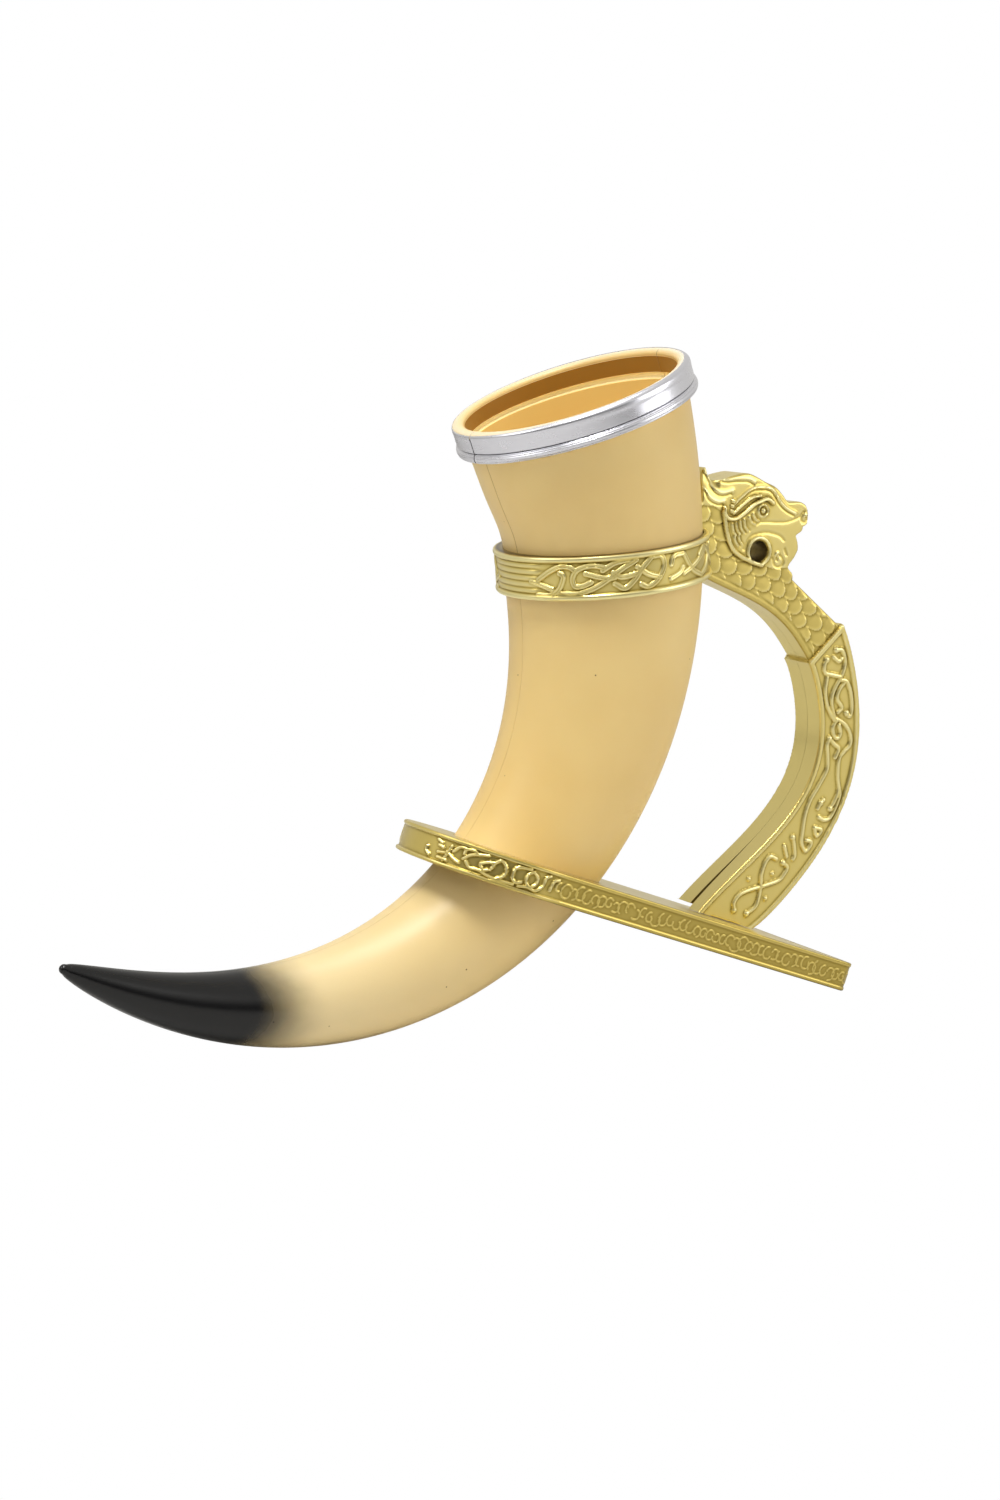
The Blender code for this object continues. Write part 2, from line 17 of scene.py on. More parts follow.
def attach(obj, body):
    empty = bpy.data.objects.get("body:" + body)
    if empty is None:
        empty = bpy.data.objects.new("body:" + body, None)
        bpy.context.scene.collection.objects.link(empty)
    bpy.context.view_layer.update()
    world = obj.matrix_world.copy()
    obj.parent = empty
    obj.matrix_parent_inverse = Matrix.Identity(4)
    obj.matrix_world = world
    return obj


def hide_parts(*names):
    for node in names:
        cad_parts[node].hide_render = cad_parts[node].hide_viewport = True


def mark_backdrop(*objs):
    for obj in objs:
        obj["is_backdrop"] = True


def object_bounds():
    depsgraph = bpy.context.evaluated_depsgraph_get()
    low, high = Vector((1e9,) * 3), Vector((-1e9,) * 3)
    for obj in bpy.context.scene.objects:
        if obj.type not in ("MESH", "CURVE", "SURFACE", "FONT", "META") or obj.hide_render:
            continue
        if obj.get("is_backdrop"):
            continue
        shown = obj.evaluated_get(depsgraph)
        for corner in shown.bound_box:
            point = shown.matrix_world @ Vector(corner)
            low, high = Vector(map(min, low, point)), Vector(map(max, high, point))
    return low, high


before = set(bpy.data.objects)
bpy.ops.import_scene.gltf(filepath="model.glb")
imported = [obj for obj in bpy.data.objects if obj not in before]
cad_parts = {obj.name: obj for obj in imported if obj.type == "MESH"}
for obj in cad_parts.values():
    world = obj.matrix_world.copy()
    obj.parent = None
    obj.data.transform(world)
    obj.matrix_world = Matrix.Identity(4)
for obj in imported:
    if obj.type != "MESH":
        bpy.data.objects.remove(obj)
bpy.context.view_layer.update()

print("packed nodes:", sorted(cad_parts))

# %% [markdown]
# Sizes
#
# All sizes are in millimetres, in the part's frame: the table is z = 0, the handle points to +x and the
# near side of the photo is -y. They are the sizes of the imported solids.

# %% Sizes in millimetres
MM = 0.001
FINE = 1.0

HORN_LENGTH = 362.6
MOUTH = np.array([30.508, 220.738])
MOUTH_TILT = 20.4
HORN_BEND = 138.5
BEND_SHARES = (0.339, 1.754, -1.093)
MOUTH_RADIUS = 40.6
TIP_RADIUS = 1.7
TAPER_POWER = 0.732
WAIST_DEPTH = 2.1
WAIST_STATION = 49.2
WAIST_SPREAD = 14.2
WALL = 2.2
CAVITY_LENGTH = 300.0
LEDGE_STATION = 9.6
LEDGE_STEP = 1.0
LIP_RADIUS = 42.8
LIP_RISE = 1.7
THROAT_RADIUS = 38.3
SEAT_RADIUS = 41.24
SEAT_START = 2.0
SEAT_END = 11.0

BAND_STATION = 2.3
BAND_RADIUS = 42.94
BAND_BORE = 41.54
BAND_HEIGHT = 8.4

COLLAR_STATION = 62.0
COLLAR_RADIUS = 37.8
COLLAR_HEIGHT = 15.3

BASE_STATION = 174.2
BASE_TILT = math.radians(20.8)
BASE_RADIUS = 37.0
BASE_THICKNESS = 10.8
BASE_SHIFT = -9.2
BASE_TAIL = 131.3
BASE_CORNER = 5.0
BASE_SKIN = 2.4
BASE_WALL = 3.0
FOOT_AT = 88.9

HEAD_LENGTH = 48.4
HEAD_HALF = 7.0
GRIP_HALF = 8.0
HALF_GAP = 0.05
print("horn", HORN_LENGTH, "mm along its line, mouth", 2 * LIP_RADIUS, "mm across")

# %% [markdown]
# Helpers
#
# A finish is a short node tree, so one function adds a node and links its inputs. Colours are written as
# the sRGB codes that a colour picker shows and are turned into linear light once. A mesh is a list of
# points in millimetres and faces; it is scaled to metres as it is made.

# %% Colour and nodes
def linear(code):
    """Linear RGBA of an sRGB hex code: c/12.92 below 0.04045, else ((c+0.055)/1.055)^2.4."""
    parts = [int(code[i : i + 2], 16) / 255 for i in (0, 2, 4)]
    return tuple(c / 12.92 if c <= 0.04045 else ((c + 0.055) / 1.055) ** 2.4 for c in parts) + (1.0,)


def feed(tree, made, values):
    """Set or link the named inputs of a node."""
    for name, value in values.items():
        if isinstance(value, bpy.types.NodeSocket):
            tree.links.new(value, made.inputs[name])
        else:
            made.inputs[name].default_value = value


def node(tree, kind, values=None, give=None, stops=(), **settings):
    """Add a shader node with its settings, inputs and (place, colour) stops; give the node or one output."""
    made = tree.nodes.new(kind)
    for name, value in settings.items():
        setattr(made, name, value)
    feed(tree, made, values or {})
    if stops:
        elements = made.color_ramp.elements
        while len(elements) < len(stops):
            elements.new(1.0)
        for element, (place, colour) in zip(elements, stops):
            element.position = place
            element.color = colour
    return made.outputs[give] if give else made


def finish_material(name):
    """A material with an empty Principled surface, returned with its tree."""
    made = bpy.data.materials.new(name)
    made.use_nodes = True
    tree = made.node_tree
    print("finish:", name)
    return made, tree, tree.nodes["Principled BSDF"]


# %% Meshes
def add_piece(name, points, faces, material, slot, nodes, sharp=35.0, **values):
    """Make one closed piece with its finish and float attributes, and let it stand for its nodes."""
    mesh = bpy.data.meshes.new(name + "_skin")
    mesh.from_pydata((np.reshape(points, (-1, 3)) * MM).tolist(), [], faces)
    mesh.validate()
    mesh.shade_smooth()
    mesh.set_sharp_from_angle(angle=math.radians(sharp))
    for key, data in values.items():
        attribute = mesh.attributes.new(key, "FLOAT", "POINT")
        attribute.data.foreach_set("value", np.asarray(data, np.float32).ravel())
    mesh.materials.append(material)
    made = bpy.data.objects.new(name + "_skin", mesh)
    bpy.context.scene.collection.objects.link(made)
    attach(made, "root")
    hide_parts(*nodes)
    print(name, len(mesh.vertices), "points,", sum(p.loop_total - 2 for p in mesh.polygons), "triangles")


def grid_faces(rows, columns, first=0, wrap_rows=False, wrap_columns=False):
    """Quads of a grid stored row by row. They face outwards where rows run down and columns turn left."""
    index = np.arange(rows * columns).reshape(rows, columns) + first
    if wrap_rows:
        index = np.vstack([index, index[:1]])
    if wrap_columns:
        index = np.hstack([index, index[:, :1]])
    corners = (index[1:, :-1], index[1:, 1:], index[:-1, 1:], index[:-1, :-1])
    return np.stack([c.ravel() for c in corners], axis=1).tolist()


# %% Paths and distances
def smooth_path(spots, step):
    """A rounded path through the spots: Catmull-Rom, q = sum of the four neighbours' cubic weights."""
    spots = np.asarray(spots, float)
    if len(spots) < 3:
        return spots
    padded = np.vstack([2 * spots[0] - spots[1], spots, 2 * spots[-1] - spots[-2]])
    parts = []
    for a, b, c, d in zip(padded, padded[1:], padded[2:], padded[3:]):
        count = max(2, int(np.linalg.norm(c - b) / step))
        t = np.linspace(0, 1, count, endpoint=False)[:, None]
        square = (2 * a - 5 * b + 4 * c - d) * t**2
        cube = (3 * b - a - 3 * c + d) * t**3
        parts.append(0.5 * (2 * b + (c - a) * t + square + cube))
    return np.vstack(parts + [spots[-1:]])


def path_lengths(path):
    """Length along a path of straight pieces up to each of its points."""
    return np.concatenate([[0], np.cumsum(np.linalg.norm(np.diff(path, axis=0), axis=1))])


def at_lengths(path, places):
    """Points of a path at the given lengths along it."""
    lengths = path_lengths(path)
    return np.stack([np.interp(places, lengths, path[:, i]) for i in (0, 1)], axis=1)


def to_segment(points, a, b):
    """Distance from each point to the straight piece from a to b: |p - a - clamp(t) (b - a)|."""
    along = b - a
    t = np.clip((points - a) @ along / max(along @ along, 1e-9), 0, 1)
    return np.linalg.norm(points - a - t[:, None] * along, axis=1)


def distance(points, path, beyond=1e6, reach=3.0):
    """Distance to a path of straight pieces; points out of reach of its box get the value for beyond."""
    best = np.full(len(points), beyond)
    near = np.all((points > path.min(0) - reach) & (points < path.max(0) + reach), axis=1)
    found = points[near]
    least = best[near]
    for a, b in zip(path, path[1:]):
        least = np.minimum(least, to_segment(found, a, b))
    best[near] = least
    return best


# %% Sections and tones
def arch(d, half):
    """Round section: sqrt(1 - (d / half)^2), and 0 beside it."""
    return np.sqrt(np.clip(1 - (d / half) ** 2, 0, None))


def bell(d, half):
    """Soft section: exp(-(d / half)^2)."""
    return np.exp(-((d / half) ** 2))


def cord(points, spots, half, step=0.5):
    """Round cord along a path, 1 on its crest."""
    return arch(distance(points, smooth_path(spots, step)), half)


def cut(points, spots, half, step=0.5):
    """Soft groove along a path, 1 in its middle."""
    return bell(distance(points, smooth_path(spots, step)), half)


def knob(points, middle, radius):
    """Round knob, 1 on its top."""
    return arch(np.linalg.norm(points - middle, axis=1), radius)


def rise(low, high, value):
    """Smooth step from 0 at low to 1 at high: 3 t^2 - 2 t^3."""
    t = np.clip((value - low) / (high - low), 0, 1)
    return t * t * (3 - 2 * t)


def round_drop(d, radius):
    """Drop of a rounded corner at d from the edge: r (1 - sqrt(1 - (1 - d / r)^2)) within r of it."""
    falling = np.clip(1 - d / radius, 0, 1)
    return radius * (1 - np.sqrt(1 - falling**2))


def painted_light_and_shade(height, blurred, gain=1.0):
    """Painted light of the coat: 0.7 on even ground, painted shade below the surroundings, a painted
    highlight above them.
    """
    return np.clip(0.7 + gain * (height - blurred), 0, 1)


def blur_grid(height, passes):
    """Average each grid point with its four neighbours; columns wrap round, rows stop at the edge."""
    for _ in range(passes):
        padded = np.vstack([height[:1], height, height[-1:]])
        sides = np.roll(height, 1, axis=1), np.roll(height, -1, axis=1)
        height = (2 * height + padded[:-2] + padded[2:] + sides[0] + sides[1]) / 6
    return height


# %% [markdown]
# Finishes
#
# The horn is cast in cream plastic with a satin skin, a few dark specks of filler and a tip that was blown
# black from an airbrush, so its edge is soft; its inside is given painted light, shade and glow. The handle,
# collar and foot are plastic with a gold metal coat, given a painted highlight on the crests and painted
# shade in the low ground. The rim band is rolled silver-coloured metal with fine scuffs along the roll and
# painted shade in its lines. Node trees give all of this without any image, so that each pattern keeps its
# real size in millimetres.

# %% Cream plastic with a black airbrushed tip
# pattern sizes in millimetres; the grain of the mould is finer in life and is drawn as coarse as it has to
# be to show
SPECK_SPACING = 11.0
CLOUD_SIZE = 60.0
GRAIN_SIZE = 0.9
# the mottle of the spray, how far its edge wanders, and the stations where it starts and is full
SPRAY_SIZE = 14.0
SPRAY_WANDER = 7.0
SPRAY_START = 276.0
SPRAY_END = 304.0
# stations between which the cream grows paler
PALE_START = 170.0
PALE_END = 275.0
# marks for the places inside the horn, with the painted colour and the painted glow at each mark
IN_CUP = 0.5
IN_LEDGE = 0.75
IN_THROAT = 1.0
INSIDE_PAINTED_LIGHT = [(IN_CUP, "ECCB7C"), (0.7, "FFF2C8"), (0.8, "FFF2C8"), (IN_THROAT, "9A6816")]
PAINTED_GLOWS = [(0.3, 0.0), (IN_CUP, 0.085), (0.8, 0.13), (IN_THROAT, 0.04)]

# moulded plastic from a satin mould: broad soft highlights, and a warm colour that light enters a little
cream, tree, surface = finish_material("cream_satin_plastic_black_airbrushed_tip")
marks = ("station", "inside", "seam_and_slit_shade", "silvered", "sprayed")
found = [node(tree, "ShaderNodeAttribute", give="Fac", attribute_name=mark) for mark in marks]
station, within, seam_and_slit_shade, haze, sprayed = found
place = node(tree, "ShaderNodeTexCoord", give="Object")
cloud = node(tree, "ShaderNodeTexNoise", {"Vector": place, "Scale": 1000 / CLOUD_SIZE, "Detail": 3.0}, "Fac")
creams = [(0.3, linear("DDBC77")), (0.7, linear("E6CA88"))]
clouded = node(tree, "ShaderNodeValToRGB", {"Fac": cloud}, "Color", creams)
# the casting is paler towards the tip
pale_range = {"Value": station, "From Min": PALE_START, "From Max": PALE_END}
toward_tip = node(tree, "ShaderNodeMapRange", pale_range, "Result")
# painted light inside: amber for light through the wall, painted highlight on the ledge, painted shade in
# the throat
inside_light_stops = [(mark, linear(code)) for mark, code in INSIDE_PAINTED_LIGHT]
inside_painted_light = node(tree, "ShaderNodeValToRGB", {"Fac": within}, "Color", inside_light_stops)
painted_glow_stops = [(mark, (glow, glow, glow, 1)) for mark, glow in PAINTED_GLOWS]
painted_glow = node(tree, "ShaderNodeValToRGB", {"Fac": within}, "Color", painted_glow_stops)
is_within = node(tree, "ShaderNodeMath", {0: within, 1: 2.0}, "Value", operation="MULTIPLY", use_clamp=True)
specks = node(tree, "ShaderNodeTexVoronoi", {"Vector": place, "Scale": 1000 / SPECK_SPACING}, "Distance")
speck_sizes = [(0.018, (1, 1, 1, 1)), (0.035, (0, 0, 0, 1))]
speck_mask = node(tree, "ShaderNodeValToRGB", {"Fac": specks}, "Color", speck_sizes)

# %% Layers of the cream finish
# the spray edge wanders by a few millimetres: sprayed + wander (noise - 0.5)
spray = node(tree, "ShaderNodeTexNoise", {"Vector": place, "Scale": 1000 / SPRAY_SIZE, "Detail": 4.0}, "Fac")
wander = {0: spray, 1: SPRAY_WANDER, 2: -SPRAY_WANDER / 2}
wander = node(tree, "ShaderNodeMath", wander, "Value", operation="MULTIPLY_ADD")
edge = node(tree, "ShaderNodeMath", {0: sprayed, 1: wander}, "Value", operation="ADD")
spray_range = {"Value": edge, "From Min": SPRAY_START, "From Max": SPRAY_END}
tip_fade = node(tree, "ShaderNodeMapRange", spray_range, "Result", interpolation_type="SMOOTHSTEP")
# from the casting outwards: pale end, painted light inside, specks, parting line with painted shade in the
# band's slit, silver haze and black paint
layers = [
    (toward_tip, linear("DDC897")),
    (is_within, inside_painted_light),
    (speck_mask, linear("6B4A22")),
    (seam_and_slit_shade, linear("8A6636")),
    (haze, linear("DAD6CA")),
    (tip_fade, linear("040405")),
]
colour = clouded
for share, over in layers:
    layered = {"Factor": share, "A": colour, "B": over}
    colour = node(tree, "ShaderNodeMix", layered, "Result", data_type="RGBA")
grain = node(tree, "ShaderNodeTexNoise", {"Vector": place, "Scale": 1000 / GRAIN_SIZE, "Detail": 2.0}, "Fac")
skin = node(tree, "ShaderNodeBump", {"Height": grain, "Strength": 0.03, "Distance": 0.0003}, "Normal")
# the paint is glossier than the bare casting
gloss = node(tree, "ShaderNodeMapRange", {"Value": tip_fade, "To Min": 0.40, "To Max": 0.26}, "Result")
feed(tree, surface, {"Base Color": colour, "Roughness": gloss, "Normal": skin, "Specular IOR Level": 0.42})
# the inside of the horn gets a painted glow
feed(tree, surface, {"Emission Color": linear("FFDA74"), "Emission Strength": painted_glow})
feed(tree, surface, {"Subsurface Weight": 0.10, "Subsurface Radius": (0.004, 0.0025, 0.0012)})
print("cream layers:", len(layers))

# %% Silver band and gold coat
SCUFF_SIZE = 9.0
CLOUDING_SIZE = 7.0

# rolled strip with a bright plating: a soft mirror, dulled by scuffs along the roll, with painted shade in
# its lines
silver, tree, surface = finish_material("rolled_silver_band")
place = node(tree, "ShaderNodeTexCoord", give="Object")
stretched = node(tree, "ShaderNodeMapping", {"Vector": place, "Scale": (1.0, 1.0, 5.0)}, "Vector")
scuff_inputs = {"Vector": stretched, "Scale": 1000 / SCUFF_SIZE, "Detail": 3.0}
scuffs = node(tree, "ShaderNodeTexNoise", scuff_inputs, "Fac")
dull_range = {"Value": scuffs, "From Min": 0.35, "From Max": 0.75, "To Min": 0.27, "To Max": 0.295}
dull = node(tree, "ShaderNodeMapRange", dull_range, "Result")
depth = node(tree, "ShaderNodeAttribute", give="Fac", attribute_name="relief")
silvers = [(0.0, linear("3C3C42")), (0.75, linear("DADAE1"))]
plating = node(tree, "ShaderNodeValToRGB", {"Fac": depth}, "Color", silvers)
feed(tree, surface, {"Base Color": plating, "Roughness": dull, "Metallic": 1.0})

# metal coat under lacquer on plastic: a painted highlight on a crest, gold on even ground, painted shade in
# a crevice
gold, tree, surface = finish_material("gold_metal_coat")
place = node(tree, "ShaderNodeTexCoord", give="Object")
depth = node(tree, "ShaderNodeAttribute", give="Fac", attribute_name="relief")
golds = [(0.05, linear("43330F")), (0.5, linear("A38E43")), (0.7, linear("D3BE6C")), (1.0, linear("EDE1A3"))]
coat = node(tree, "ShaderNodeValToRGB", {"Fac": depth}, "Color", golds)
clouding_inputs = {"Vector": place, "Scale": 1000 / CLOUDING_SIZE, "Detail": 4.0}
clouding = node(tree, "ShaderNodeTexNoise", clouding_inputs, "Fac")
polish = node(tree, "ShaderNodeMapRange", {"Value": clouding, "To Min": 0.26, "To Max": 0.34}, "Result")
ripple = node(tree, "ShaderNodeBump", {"Height": clouding, "Strength": 0.02, "Distance": 0.0004}, "Normal")
feed(tree, surface, {"Base Color": coat, "Roughness": polish, "Normal": ripple, "Metallic": 0.85})

# %% [markdown]
# The horn's own line
#
# The horn bends more and more along its length, like a real one. Its heading turns with the station s from
# the mouth, and the centre line is the sum of small steps along that heading. A drawn curve could look the
# same, but the formula also gives the tilt at any station, and everything that sits on the horn needs it.

# %% Centre line of the horn
LINE = np.linspace(0, HORN_LENGTH, 2000)


def horn_tilt(s):
    """Angle from straight down towards +x: mouth tilt - bend (a t + b t^2 + c t^3), with t = s / length."""
    t = np.asarray(s, float) / HORN_LENGTH
    a, b, c = BEND_SHARES
    return np.radians(MOUTH_TILT - HORN_BEND * (a * t + b * t**2 + c * t**3))


def horn_waist(s):
    """Depth of the shallow waist below the mouth: depth exp(-((s - station) / spread)^2)."""
    return WAIST_DEPTH * bell(np.asarray(s, float) - WAIST_STATION, WAIST_SPREAD)


def horn_radius(s):
    """Outer radius at the front: (mouth - tip) (1 - t)^power + tip - waist."""
    t = np.clip(np.asarray(s, float) / HORN_LENGTH, 0, 1)
    return (MOUTH_RADIUS - TIP_RADIUS) * (1 - t) ** TAPER_POWER + TIP_RADIUS - horn_waist(s)


def horn_back(s, theta):
    """What the back has more than the front, as it has no waist: waist (1 + cos theta) / 2."""
    return np.outer(horn_waist(s), (1 + np.cos(theta)) / 2)


heading = np.stack([np.sin(horn_tilt(LINE)), -np.cos(horn_tilt(LINE))], axis=1)
steps = (heading[1:] + heading[:-1]) / 2 * (LINE[1] - LINE[0])
CENTRES = MOUTH + np.vstack([[0, 0], np.cumsum(steps, axis=0)])
print("horn tip at", np.round(CENTRES[-1], 1), "mm")


# %% Places on the horn
def horn_centre(s):
    """Centre line in x and z; past its ends it goes straight on."""
    inside = np.clip(s, 0, HORN_LENGTH)
    flat = np.stack([np.interp(inside, LINE, CENTRES[:, i]) for i in (0, 1)], axis=-1)
    angle = horn_tilt(inside)
    onward = np.stack([np.sin(angle), -np.cos(angle)], axis=-1)
    return flat + onward * (np.asarray(s) - inside)[..., None]


def around_horn(s, r, theta):
    """Points round the horn: centre(s) + across (r cos theta) + y (r sin theta).

    s and r have a row for each ring, and one column or as many as there are angles.
    """
    s = np.reshape(s, (len(s), -1))
    r = np.reshape(r, (len(r), -1))
    centre = horn_centre(s)
    angle = horn_tilt(np.clip(s, 0, HORN_LENGTH))
    reach = r * np.cos(theta)
    x = centre[..., 0] + np.cos(angle) * reach
    z = centre[..., 1] + np.sin(angle) * reach
    return np.stack([x, r * np.sin(theta), z], axis=-1)


def round_axis(s, height, r, theta):
    """Points of a ring that stands square on the horn at s: height runs towards the mouth."""
    angle = float(horn_tilt(s))
    centre = horn_centre(np.array([s]))[0]
    reach = r * np.cos(theta)
    x = centre[0] + math.cos(angle) * reach - math.sin(angle) * height
    z = centre[1] + math.sin(angle) * reach + math.cos(angle) * height
    return np.stack([x, r * np.sin(theta), z], axis=-1)


# %% [markdown]
# Horn halves
#
# The horn is moulded in two halves that are glued along the parting plane. One profile runs from the bottom
# of the hollow up the inside, over the domed lip, along the seat of the band and down the outside to the
# round tip. A lathe tool only turns about a straight axis, so the profile is turned about the bent line
# with a grid of stations and angles. Each half is half a turn, with the parting faces closed and a hair of
# a groove where the glue line was scraped.

# %% Profile of the horn
LIP_MIDDLE = (LIP_RADIUS + THROAT_RADIUS) / 2
LIP_HALF = (LIP_RADIUS - THROAT_RADIUS) / 2
THIN = 0.05
DRINKER_ANGLE = 2.84


def lip_dome(turn, proud=0.0):
    """Stations and radii d proud of the lip's dome, at angles a from its outer edge.

    s = rise - (rise + d) sin a and r = middle + (half + d) cos a.
    """
    s = LIP_RISE - (LIP_RISE + proud) * np.sin(turn)
    return s, LIP_MIDDLE + (LIP_HALF + proud) * np.cos(turn)


def lip_front(theta):
    """Share that is 1 at the drinker's end of the lip and fades to 0 round it: ((1 + cos) / 2)^3."""
    return ((1 + np.cos(theta - DRINKER_ANGLE)) / 2) ** 3


end_radius = float(horn_radius(CAVITY_LENGTH)) - WALL
bowl = np.radians(np.linspace(90, 0, 10))
cup_s = np.linspace(CAVITY_LENGTH, LEDGE_STATION, 110)[1:]
inside_s = np.concatenate([CAVITY_LENGTH + end_radius * np.sin(bowl), cup_s])
inside_r = np.concatenate([end_radius * np.cos(bowl), horn_radius(cup_s) - WALL])
throat_s = [9.1, 7.9, 7.3, 4.5, 2.0]
throat_r = THROAT_RADIUS + LEDGE_STEP * np.array([1, 1, 0, 0, 0])
lip_turn = np.radians(np.linspace(180, 0, 25))
lip_s, lip_r = lip_dome(lip_turn)
seat_s = [SEAT_START, SEAT_START + THIN, SEAT_END, SEAT_END + THIN]
seat_r = [LIP_RADIUS, SEAT_RADIUS, SEAT_RADIUS, float(horn_radius(SEAT_END + THIN))]
outside_s = np.linspace(SEAT_END, HORN_LENGTH, int(300 / FINE))[1:]
tip = np.radians(np.linspace(0, 90, 8)[1:])
tip_s = HORN_LENGTH + TIP_RADIUS * np.sin(tip)
tip_r = TIP_RADIUS * np.cos(tip)
profile_s = np.concatenate([inside_s, throat_s, lip_s, seat_s, outside_s, tip_s])
profile_r = np.concatenate([inside_r, throat_r, lip_r, seat_r, horn_radius(outside_s), tip_r])
profile_r = np.maximum(profile_r, 0.01)
print("horn profile:", len(profile_s), "points")

# %% Two horn halves
# angles of the close columns beside a parting face
CLOSE = np.array([0, 0.002, 0.004, 0.007, 0.011, 0.016, 0.024])
# the parting line grows plainer between these stations, towards the mouth
SEAM_FAINT = 80.0
SEAM_PLAIN = 58.0
# the groove's depth, what it is deeper near the mouth, and its half width
GROOVE_DEPTH = 0.05
GROOVE_DEEPER = 0.09
GROOVE_HALF = 0.16
GROOVE_FULL_RADIUS = 5.0
# the line's strength, what it is stronger near the mouth, and its half width
SEAM_STRENGTH = 0.10
SEAM_STRONGER = 0.50
SEAM_HALF = 0.14
# painted shade in the slit of the band, strong enough to be full some way beside it
SLIT_SHADE_STRENGTH = 2.5
SLIT_SHADE_HALF = 0.9
# degrees on the lip's dome where the silver haze starts and where it is full
HAZE_START = 165.0
HAZE_FULL = 60.0
HAZE_STRENGTH = 0.9
HAZE_LESS = 0.5
FLANK_SPRAY = 7.0
TOP_SPRAY = 2.0


def with_poles(grid):
    """The values of a grid with its first and last rows cut down to one value each."""
    middle = grid[1:-1].reshape(-1, *grid.shape[2:])
    return np.concatenate([grid[0, :1], middle, grid[-1, :1]])


def pole_faces(rows, columns):
    """Faces of a half turned skin whose first and last rows are one point each, with its parting faces."""
    index = np.arange((rows - 2) * columns).reshape(rows - 2, columns) + 1
    last = int(index[-1, -1]) + 1
    first_fan = np.stack([index[0, :-1], index[0, 1:], np.zeros(columns - 1, int)], axis=1)
    last_fan = np.stack([np.full(columns - 1, last), index[-1, 1:], index[-1, :-1]], axis=1)
    partings = [[last, *index[::-1, 0].tolist(), 0], [0, *index[:, -1].tolist(), last]]
    return grid_faces(rows - 2, columns, first=1) + first_fan.tolist() + last_fan.tolist() + partings


def horn_half(name, start):
    """Half a turn of the horn profile from the angle start: radius + back - groove, at each station."""
    wide_steps = np.linspace(0.04, math.pi - 0.04, int(110 / FINE))
    theta = np.concatenate([CLOSE, wide_steps, math.pi - CLOSE[::-1]])
    arc = np.minimum(theta, math.pi - theta)[None, :] * profile_r[:, None]
    plainer = rise(SEAM_FAINT, SEAM_PLAIN, profile_s)[:, None]
    groove = (GROOVE_DEPTH + GROOVE_DEEPER * plainer) * bell(arc, GROOVE_HALF)
    # it runs out towards the tip
    groove = groove * np.clip(profile_r[:, None] / GROOVE_FULL_RADIUS, 0, 1)
    scraped = profile_r[:, None] + horn_back(profile_s, theta + start) - groove
    points = around_horn(profile_s, np.maximum(scraped, 0.005), theta + start)
    points[..., 1] += HALF_GAP * math.sin(start + math.pi / 2)
    rows, columns = points.shape[:2]
    cup = len(inside_s)
    throat = cup + len(throat_s)
    within = np.zeros((rows, columns))
    within[:cup] = IN_CUP
    within[cup:throat] = IN_THROAT
    # the ledge under the throat gets a painted highlight
    within[cup : cup + 2] = IN_LEDGE
    # the haze is full on the lip's outer edge and gone on its inner one
    hazy = np.zeros((rows, columns))
    spread = rise(HAZE_START, HAZE_FULL, np.degrees(lip_turn))
    less = 1 - HAZE_LESS * lip_front(theta + start)
    hazy[throat : throat + len(lip_turn)] = HAZE_STRENGTH * np.outer(spread, less)
    # paint only shows outside, so the inside keeps a station of nought
    stations = np.where(within > 0, 0.0, profile_s[:, None])
    # the airbrush was held at the flanks from a little above: s + 7 sin^2 theta - 2 cos theta
    blown = stations + (FLANK_SPRAY * np.sin(theta) ** 2 - TOP_SPRAY * np.cos(theta + start))
    line = bell(arc, SEAM_HALF) * (SEAM_STRENGTH + SEAM_STRONGER * plainer)
    # the painted shade of the slit lies on the seat, behind it
    on_seat = (profile_r == SEAT_RADIUS)[:, None]
    line = np.where(on_seat, SLIT_SHADE_STRENGTH * bell(arc, SLIT_SHADE_HALF), line)
    values = {"station": stations, "sprayed": blown, "inside": within, "seam_and_slit_shade": line, "silvered": hazy}
    values = {mark: with_poles(grid) for mark, grid in values.items()}
    faces = pole_faces(rows, columns)
    add_piece(name, with_poles(points), faces, cream, "cream_plastic", [name], **values)


horn_half("horn_half_far", 0.0)
horn_half("horn_half_near", math.pi)

# %% [markdown]
# Rim band
#
# A strip of silver metal is rolled with a bead and fine lines, bent round the mouth and butted at the
# front. Its upper edge is rolled thinly over the lip, less far at the drinker's end. Its outline is one
# profile turned about the mouth's axis, as a rolling mill would make it; the turn stops just short of a
# full circle, which leaves the slit of the butt joint.

# %% Silver rim band
BEAD_PROUD = 0.7
BEAD_MIDDLE = -7.0
BEAD_HALF = 1.4
# height, half width and depth of each rolled line
ROLLED_LINES = ((-5.15, 0.20, 0.40), (-6.30, 0.13, 0.16), (-7.70, 0.13, 0.16))
HALF_SLIT = 0.28
# degrees that the roll goes over the lip, and how much less at the drinker's end
ROLL = 75.0
ROLL_LESS = 45.0
# the roll's outer and inner distance from the lip
ROLL_OVER = 0.14
ROLL_UNDER = 0.03
FLARE = 0.10
FLARE_HALF = 0.8
# painted shade in the rolled lines
LINE_PAINTED_SHADE = 2.2

heights = np.linspace(0, -BAND_HEIGHT, int(100 / FINE))
bead = BEAD_PROUD * arch(heights - BEAD_MIDDLE, BEAD_HALF)
lines = sum(deep * bell(heights - middle, half) for middle, half, deep in ROLLED_LINES)
